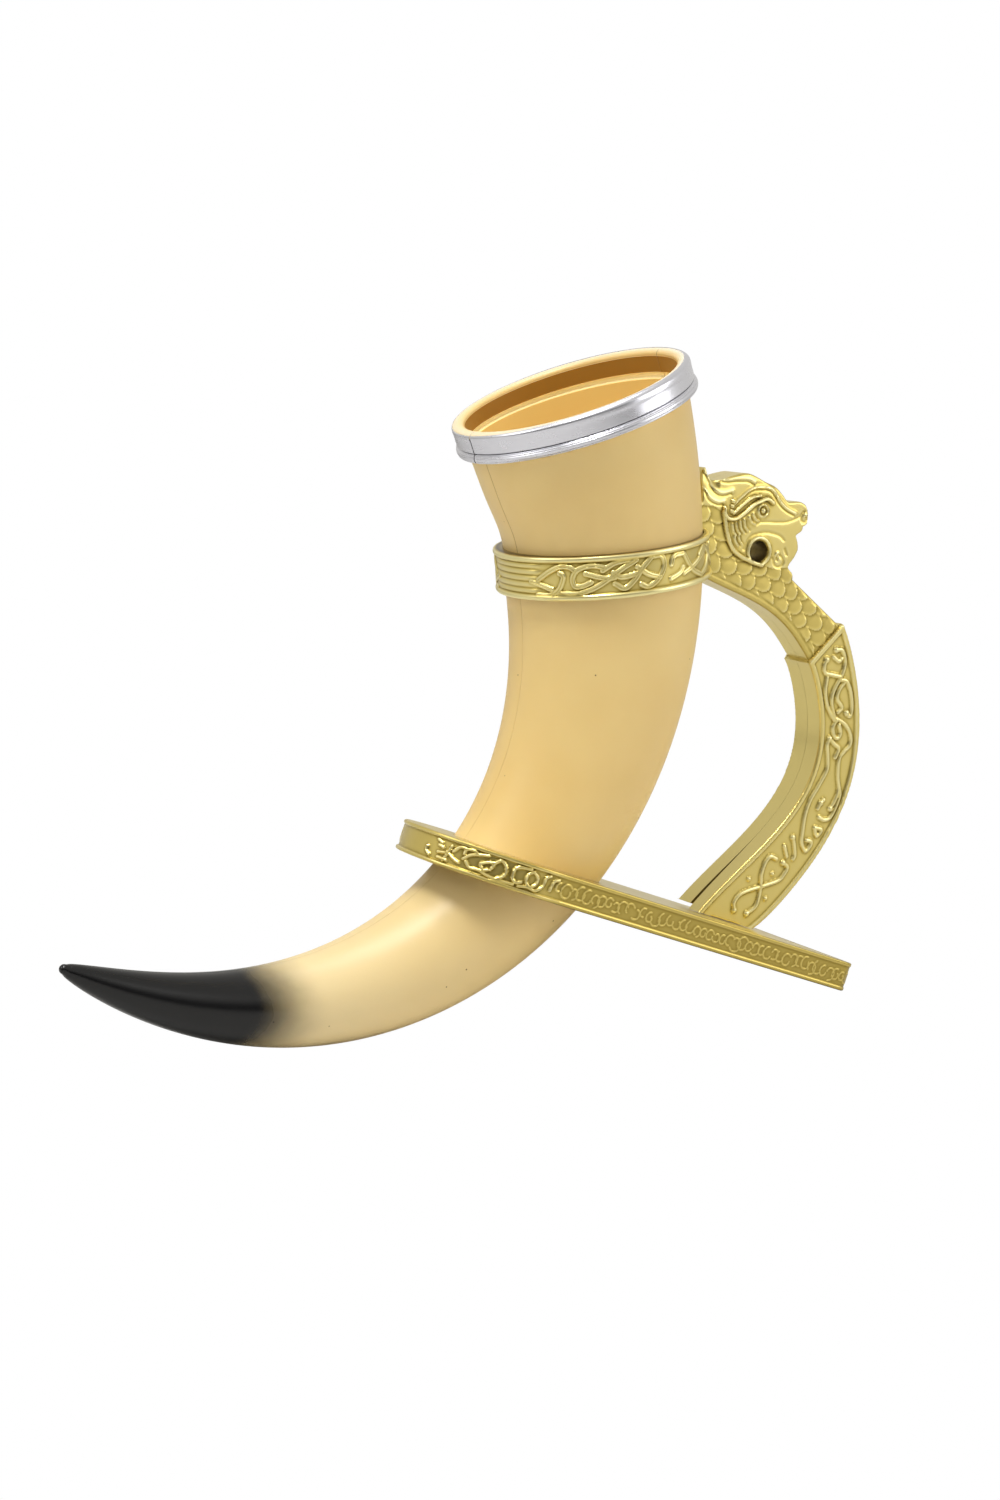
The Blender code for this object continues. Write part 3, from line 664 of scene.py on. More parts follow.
# the face flares out to the full radius at its upper edge
face_r = BAND_RADIUS - FLARE + bead - lines + FLARE * bell(heights, FLARE_HALF)
ring_h = np.concatenate([heights, [-BAND_HEIGHT, -BAND_HEIGHT / 2, 0.0]])
ring_r = np.concatenate([face_r, [BAND_BORE, BAND_BORE, BAND_BORE]])
slit_angle = HALF_SLIT / BAND_RADIUS
theta = np.linspace(math.pi + slit_angle, 3 * math.pi - slit_angle, int(720 / FINE))
face_points = round_axis(BAND_STATION, ring_h[:, None], ring_r[:, None], theta)
roll = np.outer(np.linspace(1, 0, 14), np.radians(ROLL - ROLL_LESS * lip_front(theta)))
over_lip = around_horn(*lip_dome(roll, ROLL_OVER), theta)
under_lip = around_horn([BAND_STATION], [LIP_RADIUS + ROLL_UNDER], theta)
back_lip = around_horn(*lip_dome(roll[::-1], ROLL_UNDER), theta)
band_points = np.vstack([over_lip, face_points, under_lip, back_lip])
rows, columns = band_points.shape[:2]
index = np.arange(rows * columns).reshape(rows, columns)
band_faces = grid_faces(rows, columns, wrap_rows=True)
band_faces += [index[::-1, 0].tolist(), index[:, -1].tolist()]
hidden_rows = rows - len(roll) - len(lines)
# the rolled lines get a painted shade
band_tone = np.concatenate([np.ones(len(roll)), 1 - LINE_PAINTED_SHADE * lines, np.full(hidden_rows, 0.5)])
relief = np.repeat(band_tone, columns)
add_piece("rim_band", band_points, band_faces, silver, "silver_band", ["rim_band"], relief=relief)

# %% [markdown]
# Collar
#
# The collar is a moulded ring with rolled edges. Plain ridges run round its front, and on each side they
# open into knotwork. The ground between the edges is a grid of angle and height, and every cord lifts the
# ground by a round section where it passes, with a fine line down its middle. Bump in the finish would be
# quicker, but real heights also show at the edges. The two sides mirror each other, as they come from one
# pattern.

# %% Cords of the collar
# each cord's spots: degrees round the collar and height
COLLAR_CORDS = [
    [(201, -0.3), (208, 2.6), (214.5, 4.3), (220, 4.0), (223, 2.6)],
    [(196, -0.9), (203, -2.2), (209, -3.6)],
    [(200, -5.6), (208, -5.4), (213, -3.5), (216, 0.9), (214, 2.1)],
    [(239, 3.2), (234, 4.2), (229, 4.2), (223.6, 3.0), (221, 0.3), (222, -2.4), (226, -2.5), (230.5, -1.4)],
    [(228, 1.7), (233.7, 0.5), (239, -0.3), (243, -0.2)],
    [(213, -5.0), (223, -5.1), (232, -3.4), (239.4, -0.8), (246.3, 2.2), (255, 5.1)],
    [(237, 2.5), (244, 4.8), (253, 5.4)],
    [(242.5, 1.5), (246, -0.2), (251, -0.1), (256, 0.6)],
    [(243, -2.4), (248, -4.2), (253.4, -1.7), (258.5, 2.3), (264, 5.6)],
    [(255.4, 2.6), (261.4, -0.4), (268, -2.0)],
    [(257, -3.5), (261, -4.6), (267, -2.4), (271, 1.6), (269.7, 5.2), (263, 5.5)],
    [(275, -3.2), (281.4, -1.9), (284, -0.2)],
    [(275.7, 1.6), (278, 4.3), (284.5, 4.6)],
    [(285.6, 4.0), (292, -1.7), (301, -4.8)],
    [(284.7, -2.3), (295.5, -0.1), (307, 3.5)],
    [(301, -4.8), (309, -2.4), (313, 1.6), (307, 4.8), (300, 2.4)],
    [(313, 3.8), (319, -0.4), (327, -3.6), (334, -1.0), (331, 3.4), (322, 4.2)],
]
COLLAR_RIDGES = (4.4, 2.2, 0.0, -2.2, -4.4)
print("collar cords:", len(COLLAR_CORDS))

# %% Gold collar with knotwork
# depth of the ground, and how far cords, ridges and rolled edges rise from it
GROUND_DEPTH = 0.35
CORD_RISE = 0.70
RIDGE_RISE = 0.45
EDGE_RISE = 0.92
CORD_HALF = 1.05
# the fine line down a cord: its half width, and its depth as a share of the cord
CORD_LINE_HALF = 0.22
CORD_LINE_SHARE = 0.35
ROLLED_EDGE = 6.55
ROLLED_HALF = 1.1
EDGE_TURN_IN = 0.7
COLLAR_BORE_GAP = 0.3
COLLAR_CONTRAST = 1.2
COLLAR_LIGHTER = 0.07

heights = np.linspace(COLLAR_HEIGHT / 2, -COLLAR_HEIGHT / 2, int(58 / FINE))
theta = np.linspace(0, 2 * math.pi, int(1280 / FINE), endpoint=False)
grid_h, grid_t = np.meshgrid(heights, theta, indexing="ij")
turn = np.degrees(grid_t)
mirrored = np.where(turn < 180, 360 - turn, turn)
unrolled = np.stack([np.radians(mirrored.ravel()) * COLLAR_RADIUS, grid_h.ravel()], axis=1)
cords = np.zeros(len(unrolled))
for spots in COLLAR_CORDS:
    path = np.array(spots) * [math.radians(1) * COLLAR_RADIUS, 1.0]
    d = distance(unrolled, smooth_path(path, 0.5))
    cords = np.maximum(cords, arch(d, CORD_HALF) - CORD_LINE_SHARE * bell(d, CORD_LINE_HALF))
cords = cords.reshape(grid_h.shape)
plain = 1 - rise(195, 207, mirrored)
ridges = sum(np.clip(1 - (grid_h - h) ** 2, 0, None) for h in COLLAR_RIDGES) * plain
rolled = arch(np.abs(grid_h) - ROLLED_EDGE, ROLLED_HALF)
carved = np.maximum(CORD_RISE * cords, RIDGE_RISE * ridges)
outer = COLLAR_RADIUS - GROUND_DEPTH + np.maximum(carved, EDGE_RISE * rolled)
# the first and the last row turn in towards the bore
outer[[0, -1]] -= EDGE_TURN_IN
bore_h = np.array([-COLLAR_HEIGHT / 2, 0.0, COLLAR_HEIGHT / 2])
bore_s = COLLAR_STATION - bore_h
bore_r = horn_radius(bore_s)[:, None] + horn_back(bore_s, theta) + COLLAR_BORE_GAP
ring_h = np.concatenate([heights, bore_h])[:, None]
collar_points = round_axis(COLLAR_STATION, ring_h, np.vstack([outer, bore_r]), theta)
rows, columns = collar_points.shape[:2]
collar_faces = grid_faces(rows, columns, wrap_rows=True, wrap_columns=True)
# painted shade in the ground beside the cords, painted highlight on their crests
collar_tone = painted_light_and_shade(outer, blur_grid(outer, int(14 / FINE)), COLLAR_CONTRAST) + COLLAR_LIGHTER
relief = np.vstack([collar_tone, np.full((len(bore_h), columns), 0.5)])
add_piece("collar", collar_points, collar_faces, gold, "gold_paint", ["collar"], relief=relief)

# %% [markdown]
# Handle outline
#
# The handle is a flat casting in two mirrored halves: a dragon's head that holds the collar, a scaly neck
# that runs down to a step, and a curved grip that widens onto the foot plank. The outline below is the
# packed one. Head spots are shares of the head's length from the point where it meets the collar, so that
# the head can be resized, and the grip follows a bowed line with its own width.

# %% Head spots and grip line
collar_angle = float(horn_tilt(COLLAR_STATION))
collar_middle = horn_centre(np.array([COLLAR_STATION]))[0]
ANCHOR = collar_middle + COLLAR_RADIUS * np.array([math.cos(collar_angle), math.sin(collar_angle)])
STEP_POINT = ANCHOR + np.array([58.2, -38.6])
PLANK_ALONG = np.array([math.cos(BASE_TILT), -math.sin(BASE_TILT)])
PLANK_UP = np.array([math.sin(BASE_TILT), math.cos(BASE_TILT)])
CROSSING = horn_centre(np.array([BASE_STATION]))[0]
FOOT_POINT = CROSSING + PLANK_ALONG * FOOT_AT
STEP_ANGLE = math.radians(41.2)
STEP_PROUD = 1.3
GRIP_BOW = 25.0
BOW_POWER = 0.85
GRIP_WIDTH = 17.3
STEP_EXTRA = 3.8
FOOT_EXTRA = 9.7

HEAD_OUTLINE = [
    (0.875, -0.29), (0.875, -0.25), (0.83, -0.19), (0.88, -0.125), (0.915, -0.06), (0.91, 0.0),
    (0.895, 0.045), (0.945, 0.075), (0.96, 0.11), (0.99, 0.125), (1.0, 0.16), (1.0, 0.22), (0.98, 0.27),
    (0.94, 0.295), (0.895, 0.305), (0.81, 0.305), (0.755, 0.36), (0.685, 0.42), (0.59, 0.46), (0.485, 0.51),
    (0.405, 0.53), (0.29, 0.515), (0.18, 0.49), (0.105, 0.49), (0.065, 0.58), (0.030, 0.52), (0.01, 0.42),
    (0.0, 0.335),
]
JAW_HOLE = (0.540, -0.058)
JAW_RADIUS = 3.8


def on_head(spots):
    """Head shares to x and z in millimetres."""
    return ANCHOR + np.asarray(spots, float) * HEAD_LENGTH


def grip_frame(share):
    """Middle, across direction and width of the grip at shares t from the step (0) to the foot (1).

    The middle bows out from its chord by bow sin(pi t^power); across is square to it, apart from the ends.
    """
    share = np.asarray(share, float)
    chord = FOOT_POINT - STEP_POINT
    outward = np.array([-chord[1], chord[0]]) / np.linalg.norm(chord)
    swing = math.pi * share**BOW_POWER
    middle = STEP_POINT + chord * share[:, None] + outward * (GRIP_BOW * np.sin(swing))[:, None]
    slope = GRIP_BOW * math.pi * BOW_POWER * np.cos(swing) * np.maximum(share, 0.01) ** -0.15
    toward = chord + outward * slope[:, None]
    square = np.arctan2(toward[:, 0], -toward[:, 1])
    first = (1 - share) ** 8
    last = share**6
    turned = square * (1 - first - last) + STEP_ANGLE * first - BASE_TILT * last
    width = GRIP_WIDTH + STEP_EXTRA * (1 - share) ** 6 + FOOT_EXTRA * share**1.5
    return middle, np.stack([np.cos(turned), np.sin(turned)], axis=1), width


def on_grip(spots):
    """Shares down the grip and of its half width to x and z in millimetres."""
    spots = np.asarray(spots, float)
    middle, across, width = grip_frame(spots[:, 0])
    return middle + across * (width / 2 * spots[:, 1])[:, None]


SHARES = np.linspace(0, 1, 400)
MIDDLES, ACROSS, WIDTHS = grip_frame(SHARES)
print("grip from", np.round(STEP_POINT, 1), "to", np.round(FOOT_POINT, 1), "mm")

# %% Outline of head, neck and grip
GRID_STEP = 0.42 * FINE
NECK_BOW = 5.5


def even(path, step):
    """The same path with points at an even spacing."""
    length = path_lengths(path)[-1]
    return at_lengths(path, np.linspace(0, length, max(2, int(length / step))))


inner_edge = MIDDLES - ACROSS * WIDTHS[:, None] / 2
outer_edge = MIDDLES + ACROSS * WIDTHS[:, None] / 2
neck_inner = MIDDLES[0] - ACROSS[0] * (WIDTHS[0] / 2 - STEP_PROUD)
neck_outer = MIDDLES[0] + ACROSS[0] * (WIDTHS[0] / 2 - STEP_PROUD)
neck_start = ANCHOR - np.array([1.4, 9.2])
neck_chord = neck_inner - neck_start
neck_lift = np.array([-neck_chord[1], neck_chord[0]]) / np.linalg.norm(neck_chord)
neck_share = np.linspace(0, 1, 60)[:, None]
under_edge = neck_start + neck_chord * neck_share + neck_lift * NECK_BOW * np.sin(math.pi * neck_share**1.4)
head_edge = smooth_path(on_head(HEAD_OUTLINE), 0.6)
# seat of the collar: the outline follows the collar's face between nape and throat
nape = np.array([[neck_start[0], head_edge[-1][1]]])
neck_back = np.array([neck_outer, on_head(HEAD_OUTLINE[0])])
parts = [under_edge, inner_edge[:1], inner_edge, outer_edge[::-1]]
parts += [neck_back, head_edge, nape, under_edge[:1]]
spaced = []
for before, part in zip([under_edge] + parts, parts):
    # a lone point is joined to the end of the part before it
    path = np.vstack([before[-1:], part]) if len(part) == 1 else part
    spaced.append(even(path, GRID_STEP)[1 if spaced else 0 :])
outline = np.vstack(spaced)
outline = outline[np.concatenate([[True], np.linalg.norm(np.diff(outline, axis=0), axis=1) > 0.05])]
if np.linalg.norm(outline[0] - outline[-1]) < 0.05:
    outline = outline[:-1]
print("handle outline:", len(outline), "points")

# %% [markdown]
# Handle relief
#
# The face of the casting is filled with a fine triangle net, because no grid of rows and columns fits its
# outline, and each net point gets its depth from a height formula in millimetres. The head has a mane of
# long leaves, a curled brow, a ringed eye, a hatched cheek, a round hole with a raised ring behind the jaw,
# and a thick beard line. The neck has rows of overlapping scales beside a smooth border strip. The grip has
# a raised border round a panel with a vine.

# %% Triangle net of the handle face
def inside_outline(points, loop):
    """Even-odd test: a point is inside if a ray to +x crosses the loop an odd number of times."""
    odd = np.zeros(len(points), bool)
    for a, b in zip(loop, np.roll(loop, -1, axis=0)):
        if a[1] == b[1]:
            continue
        crosses = (a[1] > points[:, 1]) != (b[1] > points[:, 1])
        where = a[0] + (points[:, 1] - a[1]) / (b[1] - a[1]) * (b[0] - a[0])
        odd ^= crosses & (points[:, 0] < where)
    return odd


def edge_distance(points, loop, reach):
    """Distance to the outline, for points nearer than reach; farther points get reach."""
    best = np.full(len(points), reach)
    for a, b in zip(loop, np.roll(loop, -1, axis=0)):
        near = np.abs(points - (a + b) / 2).max(axis=1) < reach + 0.5
        best[near] = np.minimum(best[near], to_segment(points[near], a, b))
    return best


low, high = outline.min(axis=0), outline.max(axis=0)
columns = np.arange(low[0], high[0], GRID_STEP)
rows = np.arange(low[1], high[1], GRID_STEP * 0.87)
mesh_x, mesh_z = np.meshgrid(columns, rows)
mesh_x = mesh_x + GRID_STEP / 2 * (np.arange(len(rows)) % 2)[:, None]
net = np.stack([mesh_x.ravel(), mesh_z.ravel()], axis=1)
net = net[inside_outline(net, outline)]
net = net[edge_distance(net, outline, 1.0) > GRID_STEP * 0.6]
hole_turn = np.linspace(0, 2 * math.pi, int(72 / FINE), endpoint=False)
hole_middle = on_head(JAW_HOLE)
hole_loop = hole_middle + JAW_RADIUS * np.stack([np.cos(hole_turn), np.sin(hole_turn)], axis=1)
net = net[np.linalg.norm(net - hole_middle, axis=1) > JAW_RADIUS + GRID_STEP * 0.6]
flat = np.vstack([outline, hole_loop, net])
first_hole = len(outline)
edges = [(i, (i + 1) % first_hole) for i in range(first_hole)]
edges += [(first_hole + i, first_hole + (i + 1) % len(hole_loop)) for i in range(len(hole_loop))]
filled = delaunay_2d_cdt([Vector(p) for p in flat.tolist()], edges, [], 1, 1e-6)
net_points = np.array([tuple(p) for p in filled[0]])
net_faces = np.array(filled[2])
net_middles = net_points[net_faces].mean(axis=1)
net_faces = net_faces[np.linalg.norm(net_middles - hole_middle, axis=1) > JAW_RADIUS * 0.998]
print("handle net:", len(net_points), "points,", len(net_faces), "triangles, made from", len(flat))

# %% Lines of the head
# spots are shares of the head's length from the point where it meets the collar
MANE_LINES = [
    [(0.039, 0.554), (0.082, 0.48), (0.083, 0.439), (0.126, 0.388), (0.187, 0.37), (0.268, 0.384)],
    [(0.024, 0.408), (0.066, 0.341), (0.139, 0.306), (0.19, 0.308)],
    [(0.163, 0.477), (0.235, 0.467), (0.316, 0.473), (0.419, 0.467), (0.471, 0.444)],
]
FOREHEAD = [(0.302, 0.301), (0.372, 0.356), (0.462, 0.412), (0.566, 0.421), (0.65, 0.398), (0.727, 0.304),
            (0.792, 0.252), (0.868, 0.216)]
BROW = [(0.206, 0.279), (0.207, 0.238), (0.244, 0.199), (0.316, 0.197), (0.397, 0.24), (0.477, 0.295),
        (0.539, 0.318), (0.6, 0.333), (0.654, 0.302)]
BROW_UPPER = [(0.290, 0.235), (0.374, 0.298), (0.455, 0.346), (0.537, 0.36)]
BROW_BEADS = [(0.286, 0.326), (0.277, 0.289), (0.273, 0.252)]
EYE = (0.567, 0.246)
MOUTH_LINE = [(0.509, 0.153), (0.576, 0.163), (0.765, 0.152), (0.869, 0.173), (0.932, 0.197)]
CHEEK_LINE = [(0.397, -0.035), (0.445, 0.047), (0.517, 0.077), (0.61, 0.082), (0.727, 0.053), (0.77, 0.017)]
BEARD = [(0.197, 0.246), (0.215, 0.171), (0.239, 0.071), (0.283, -0.022), (0.357, -0.083), (0.462, -0.13),
         (0.568, -0.164)]
HATCHES = [[(0.283, 0.150), (0.296, 0.100), (0.322, 0.070)],
           [(0.318, 0.162), (0.330, 0.112), (0.358, 0.080)],
           [(0.354, 0.172), (0.366, 0.122), (0.394, 0.090)],
           [(0.392, 0.182), (0.403, 0.135), (0.428, 0.106)],
           [(0.306, 0.060), (0.318, 0.022), (0.344, -0.004)],
           [(0.344, 0.066), (0.355, 0.028), (0.378, 0.004)],
           [(0.440, 0.200), (0.462, 0.165), (0.498, 0.150)],
           [(0.476, 0.222), (0.496, 0.190), (0.528, 0.172)]]
JAW_CURL = [(0.67, -0.113), (0.694, -0.173), (0.736, -0.184), (0.772, -0.152), (0.754, -0.109),
            (0.712, -0.09), (0.708, -0.132)]
JAW_LINE = [(0.784, -0.051), (0.801, -0.094)]
NOSTRIL = [(0.957, 0.229), (0.927, 0.193), (0.95, 0.145), (0.981, 0.161), (0.969, 0.195)]
print("lines on the cheek:", len(HATCHES))

# %% Vine of the grip
# the vine in shares down the grip and shares of its half width
VINE = [
    [(0.033, -0.2), (0.039, -0.37), (0.059, -0.43), (0.083, -0.05), (0.098, 0.23)],
    [(0.032, 0.34), (0.042, 0.57), (0.061, 0.62), (0.081, 0.53), (0.099, 0.26), (0.115, -0.06),
     (0.133, -0.29), (0.162, -0.37), (0.192, -0.31), (0.215, -0.2)],
    [(0.042, 0.14), (0.06, 0.32), (0.059, 0.46)],
    [(0.075, -0.39), (0.112, -0.6), (0.16, -0.58), (0.213, -0.29)],
    [(0.107, 0.23), (0.119, 0.49), (0.151, 0.62), (0.191, 0.62), (0.216, 0.5), (0.204, 0.34)],
    [(0.117, 0.43), (0.13, 0.07), (0.151, -0.07), (0.182, 0.11), (0.193, -0.09)],
    [(0.215, -0.17), (0.237, -0.35), (0.268, -0.27), (0.276, -0.07), (0.259, 0.04), (0.234, -0.04)],
    [(0.211, -0.16), (0.238, 0.28), (0.271, 0.55), (0.3, 0.56), (0.32, 0.32), (0.345, 0.13), (0.398, 0.25),
     (0.438, 0.48), (0.472, 0.51), (0.507, 0.46)],
    [(0.275, -0.48), (0.297, -0.57), (0.34, -0.45), (0.386, -0.34), (0.431, -0.43), (0.472, -0.5),
     (0.518, -0.54), (0.571, -0.42), (0.62, -0.13), (0.653, 0.14), (0.664, 0.46), (0.641, 0.51),
     (0.629, 0.43), (0.636, 0.25)],
    [(0.275, -0.48), (0.294, -0.23), (0.311, 0.02), (0.342, -0.07)],
    [(0.43, 0.45), (0.458, 0.64), (0.504, 0.66), (0.533, 0.62), (0.548, 0.45), (0.551, 0.19)],
    [(0.493, 0.01), (0.511, -0.05), (0.529, -0.05)],
    [(0.587, 0.25), (0.579, 0.55), (0.604, 0.50), (0.587, 0.25)],
    [(0.662, -0.28), (0.676, -0.05), (0.698, 0.22), (0.711, 0.26)],
    [(0.703, -0.32), (0.72, 0.0)],
    [(0.75, -0.24), (0.759, -0.48), (0.784, -0.46), (0.817, -0.27), (0.84, -0.03), (0.87, 0.22),
     (0.907, 0.41), (0.946, 0.38)],
    [(0.743, 0.04), (0.742, 0.29), (0.765, 0.37), (0.794, 0.36), (0.844, 0.06), (0.879, -0.18),
     (0.908, -0.31), (0.935, -0.25), (0.955, -0.05)],
]
VINE_BULBS = [(0.033, -0.2), (0.032, 0.34), (0.215, -0.18), (0.204, 0.34), (0.275, -0.48), (0.507, 0.46),
              (0.507, -0.04), (0.662, -0.28), (0.743, 0.06), (0.946, 0.38), (0.955, -0.05)]
VINE_DOTS = [(0.854, -0.47), (0.792, 0.03), (0.865, 0.47)]
print("vine strands:", len(VINE))


# %% Height of the grip
PANEL_DEPTH = 0.75
VINE_RISE = 0.80
VINE_HALF = 0.92
# height and radius of the vine's bulbs and dots
BULB = (0.95, 1.3)
DOT = (0.80, 0.95)


def panel_place(points):
    """Nearest share down the grip and signed millimetres from its middle, for each point."""
    share = np.zeros(len(points))
    side = np.zeros(len(points))
    least = np.full(len(points), 1e9)
    normals = np.stack([-ACROSS[:, 1], ACROSS[:, 0]], axis=1)
    for s, middle, across, normal in zip(SHARES, MIDDLES, ACROSS, normals):
        offset = points - middle
        off_line = np.abs(offset @ normal)
        beside = offset @ across
        better = (off_line < least) & (np.abs(beside) < 18)
        least = np.where(better, off_line, least)
        share = np.where(better, s, share)
        side = np.where(better, beside, side)
    return share, side


share, beside = panel_place(net_points)
step_normal = np.array([ACROSS[0][1], -ACROSS[0][0]])
below_step = (net_points - STEP_POINT) @ step_normal
on_panel = below_step > 0
half_width = np.interp(share, SHARES, WIDTHS) / 2
# a raised border, a sunk panel and the raised vine
border = np.minimum(half_width - np.abs(beside), np.maximum(below_step, 0))
grip_height = GRIP_HALF - PANEL_DEPTH * rise(1.9, 2.5, border)
vine = np.zeros(len(net_points))
for spots in VINE:
    vine = np.maximum(vine, VINE_RISE * cord(net_points, on_grip(spots), VINE_HALF))
for (tall, radius), spots in ((BULB, VINE_BULBS), (DOT, VINE_DOTS)):
    for spot in on_grip(spots):
        vine = np.maximum(vine, tall * knob(net_points, spot, radius))
grip_height = np.maximum(grip_height, GRIP_HALF - PANEL_DEPTH + vine)
print("points on the panel:", int(on_panel.sum()))

# %% Height of the neck
SCALE_LENGTH = 5.6
SCALE_WIDTH = 6.6
STRIP_WIDTH = 2.4


def scales(along, beside, length, width):
    """Rows of overlapping scales, each of them a U with its free edge t rows from its root.

    t = 0.8 + 0.8 sqrt(1 - (2 u)^2), u being the share across the scale. It rises to that edge, and the row
    above lies over the row below.
    """
    height = np.zeros(len(along))
    laid = np.zeros(len(along), bool)
    for back in (1, 0):
        row = np.floor(along / length) - back
        across = beside / width + 0.5 * (row % 2)
        across = across - np.floor(across) - 0.5
        t = along / length - row
        free = 0.8 + 0.8 * arch(2 * across, 1)
        shown = (t < np.maximum(free, 1.0 - back)) & ~laid
        raised = 0.42 + 0.50 * np.clip(t / free, 0, 1) - 0.16 * (2 * across) ** 2
        height = np.where(shown, raised, height)
        laid |= shown
    return height


chin = on_head(HEAD_OUTLINE[0])
neck_axis = (neck_outer - chin) / np.linalg.norm(neck_outer - chin)
neck_side = np.array([-neck_axis[1], neck_axis[0]])
along_neck = (net_points - neck_outer) @ neck_axis
beside_neck = (net_points - neck_outer) @ neck_side
to_under = distance(net_points, under_edge, 6.0)
to_back = distance(net_points, neck_back, 6.0)
# hand carving: the rows wander a little
wave = 0.7 * np.sin(beside_neck / 3.1) + 0.5 * np.sin(along_neck / 4.3 + beside_neck / 7)
sway = 0.6 * np.sin(along_neck / 5.3)
scaled = scales(along_neck + wave, beside_neck + sway, SCALE_LENGTH, SCALE_WIDTH)
# the scales stop at a smooth strip along the lower edge
strip = rise(2.3, 2.9, to_under) * rise(0.9, 1.3, to_back)
neck_height = HEAD_HALF - 0.75 + 0.92 * scaled * strip + 0.60 * (1 - strip)
neck_height -= 0.55 * bell(to_under - STRIP_WIDTH, 0.28)
print("neck from", round(float(along_neck.min()), 1), "mm along its axis")

# %% Height of the head
CARVED_DEEPER = 1.35


def carve(height, spots, depth, half, shift=(0.0, 0.0)):
    """The height with a soft line along head spots: cut by the depth, or raised where that is negative."""
    return height - depth * cut(net_points, on_head(spots) + shift, half)


def lay_cord(height, spots, tall, half):
    """The height with a round cord along head spots laid into it: the higher of the two."""
    return np.maximum(height, HEAD_HALF - 0.2 + tall * cord(net_points, on_head(spots), half))


head = HEAD_HALF + np.zeros(len(net_points))
for spots in MANE_LINES:
    head = carve(head, spots, 0.50, 0.34)
    head = carve(head, spots, -0.24, 0.9, (0.3, 1.0))
head = carve(head, FOREHEAD, -0.45, 0.60)
head = carve(head, FOREHEAD, 0.40, 0.36, (-0.3, -0.8))
head = lay_cord(head, BROW, 1.15, 0.82)
head = lay_cord(head, BROW_UPPER, 0.90, 0.62)
for spot in on_head(BROW_BEADS):
    head = np.maximum(head, HEAD_HALF - 0.1 + 0.8 * knob(net_points, spot, 0.85))
# the eye: a knob in a groove with a raised ring
eye_d = np.linalg.norm(net_points - on_head(EYE), axis=1)
head = head - 0.40 * bell(eye_d - 1.45, 0.30) + 0.45 * bell(eye_d - 2.15, 0.42)
head = np.maximum(head, HEAD_HALF - 0.3 + 0.9 * arch(eye_d, 1.15))
head = carve(head, MOUTH_LINE, 0.28, 0.36)
head = carve(head, CHEEK_LINE, 0.35, 0.40)
for spots in HATCHES:
    head = carve(head, spots, -0.50, 0.42)
    head = carve(head, spots, 0.40, 0.35, (0.75, 0.0))
head = lay_cord(head, BEARD, 1.0, 0.90)
# the hole: a raised ring, and a soft edge
hole_d = np.linalg.norm(net_points - hole_middle, axis=1)
head = np.maximum(head, HEAD_HALF - 0.1 + 0.6 * arch(hole_d - 4.8, 0.8))
head = head - 0.8 * bell(hole_d - JAW_RADIUS, 0.5)
head = carve(head, JAW_CURL, 0.45, 0.40)
head = head + 0.45 * knob(net_points, on_head(JAW_CURL[-2]), 1.1)
head = carve(head, JAW_LINE, 0.35, 0.40)
head = carve(head, NOSTRIL, 0.55, 0.40)
head = head + 0.50 * knob(net_points, on_head(NOSTRIL[-1]), 0.8)
# the carving is cut deeper than the first pass of lines
head_height = HEAD_HALF + CARVED_DEEPER * (head - HEAD_HALF)
print("head from", round(float(head_height.min()), 2), "to", round(float(head_height.max()), 2), "mm")

# %% Height and tone of the whole face
EDGE_ROUND = 0.7
PANEL_CONTRAST = 0.9
HEAD_CONTRAST = 1.3
NECK_CONTRAST = 1.7
STEP_CONTRAST = 0.3
PANEL_LIGHTER = 0.05
HEAD_LIGHTER = 0.06
NECK_LIGHTER = -0.05


def triangle_edges(triangles):
    """The three edges of each triangle, in its own direction."""
    return np.vstack([triangles[:, [0, 1]], triangles[:, [1, 2]], triangles[:, [2, 0]]])


# the beard line and the jaw part the head from the neck
beard_path = smooth_path(on_head(BEARD), 0.5)
jaw_back = on_head([(0.70, -0.20), (0.83, -0.19)])
parting = np.vstack([[ANCHOR + [-2.0, 15.5]], on_head([(0.12, 0.29)]), beard_path, jaw_back])
parting_z = np.interp(net_points[:, 0], parting[:, 0], parting[:, 1])
is_head = (net_points[:, 1] > parting_z) & (net_points[:, 0] < on_head([(1.02, 0)])[0, 0])
height = np.where(on_panel, grip_height, np.where(is_head, head_height, neck_height))
height = np.where(on_panel, height, lay_cord(height, BEARD, 1.0, 0.90))
# painted light and shade of the coat, from the carved height before the corners are rounded
net_pairs = triangle_edges(net_faces)
net_pairs = np.vstack([net_pairs, net_pairs[:, ::-1]])
shared = np.bincount(net_pairs[:, 0], minlength=len(net_points))
blurred = height.copy()
for _ in range(int(6 / FINE)):
    around = np.bincount(net_pairs[:, 0], weights=blurred[net_pairs[:, 1]], minlength=len(net_points))
    blurred = (blurred + around) / (1 + shared)
# the painted light and shade are strongest on the neck, and fade towards the step
neck_gain = STEP_CONTRAST + (NECK_CONTRAST - STEP_CONTRAST) * rise(0.2, 2.2, -below_step)
gain = np.where(on_panel, PANEL_CONTRAST, np.where(is_head, HEAD_CONTRAST, neck_gain))
shade = painted_light_and_shade(height, blurred, gain)
shade = shade + np.where(on_panel, PANEL_LIGHTER, np.where(is_head, HEAD_LIGHTER, NECK_LIGHTER))
height -= round_drop(edge_distance(net_points, outline, 6.0), EDGE_ROUND)
height = np.where(hole_d < 4.0, np.minimum(height, HEAD_HALF), height)
print("relief from", round(float(height.min()), 2), "to", round(float(height.max()), 2), "mm")

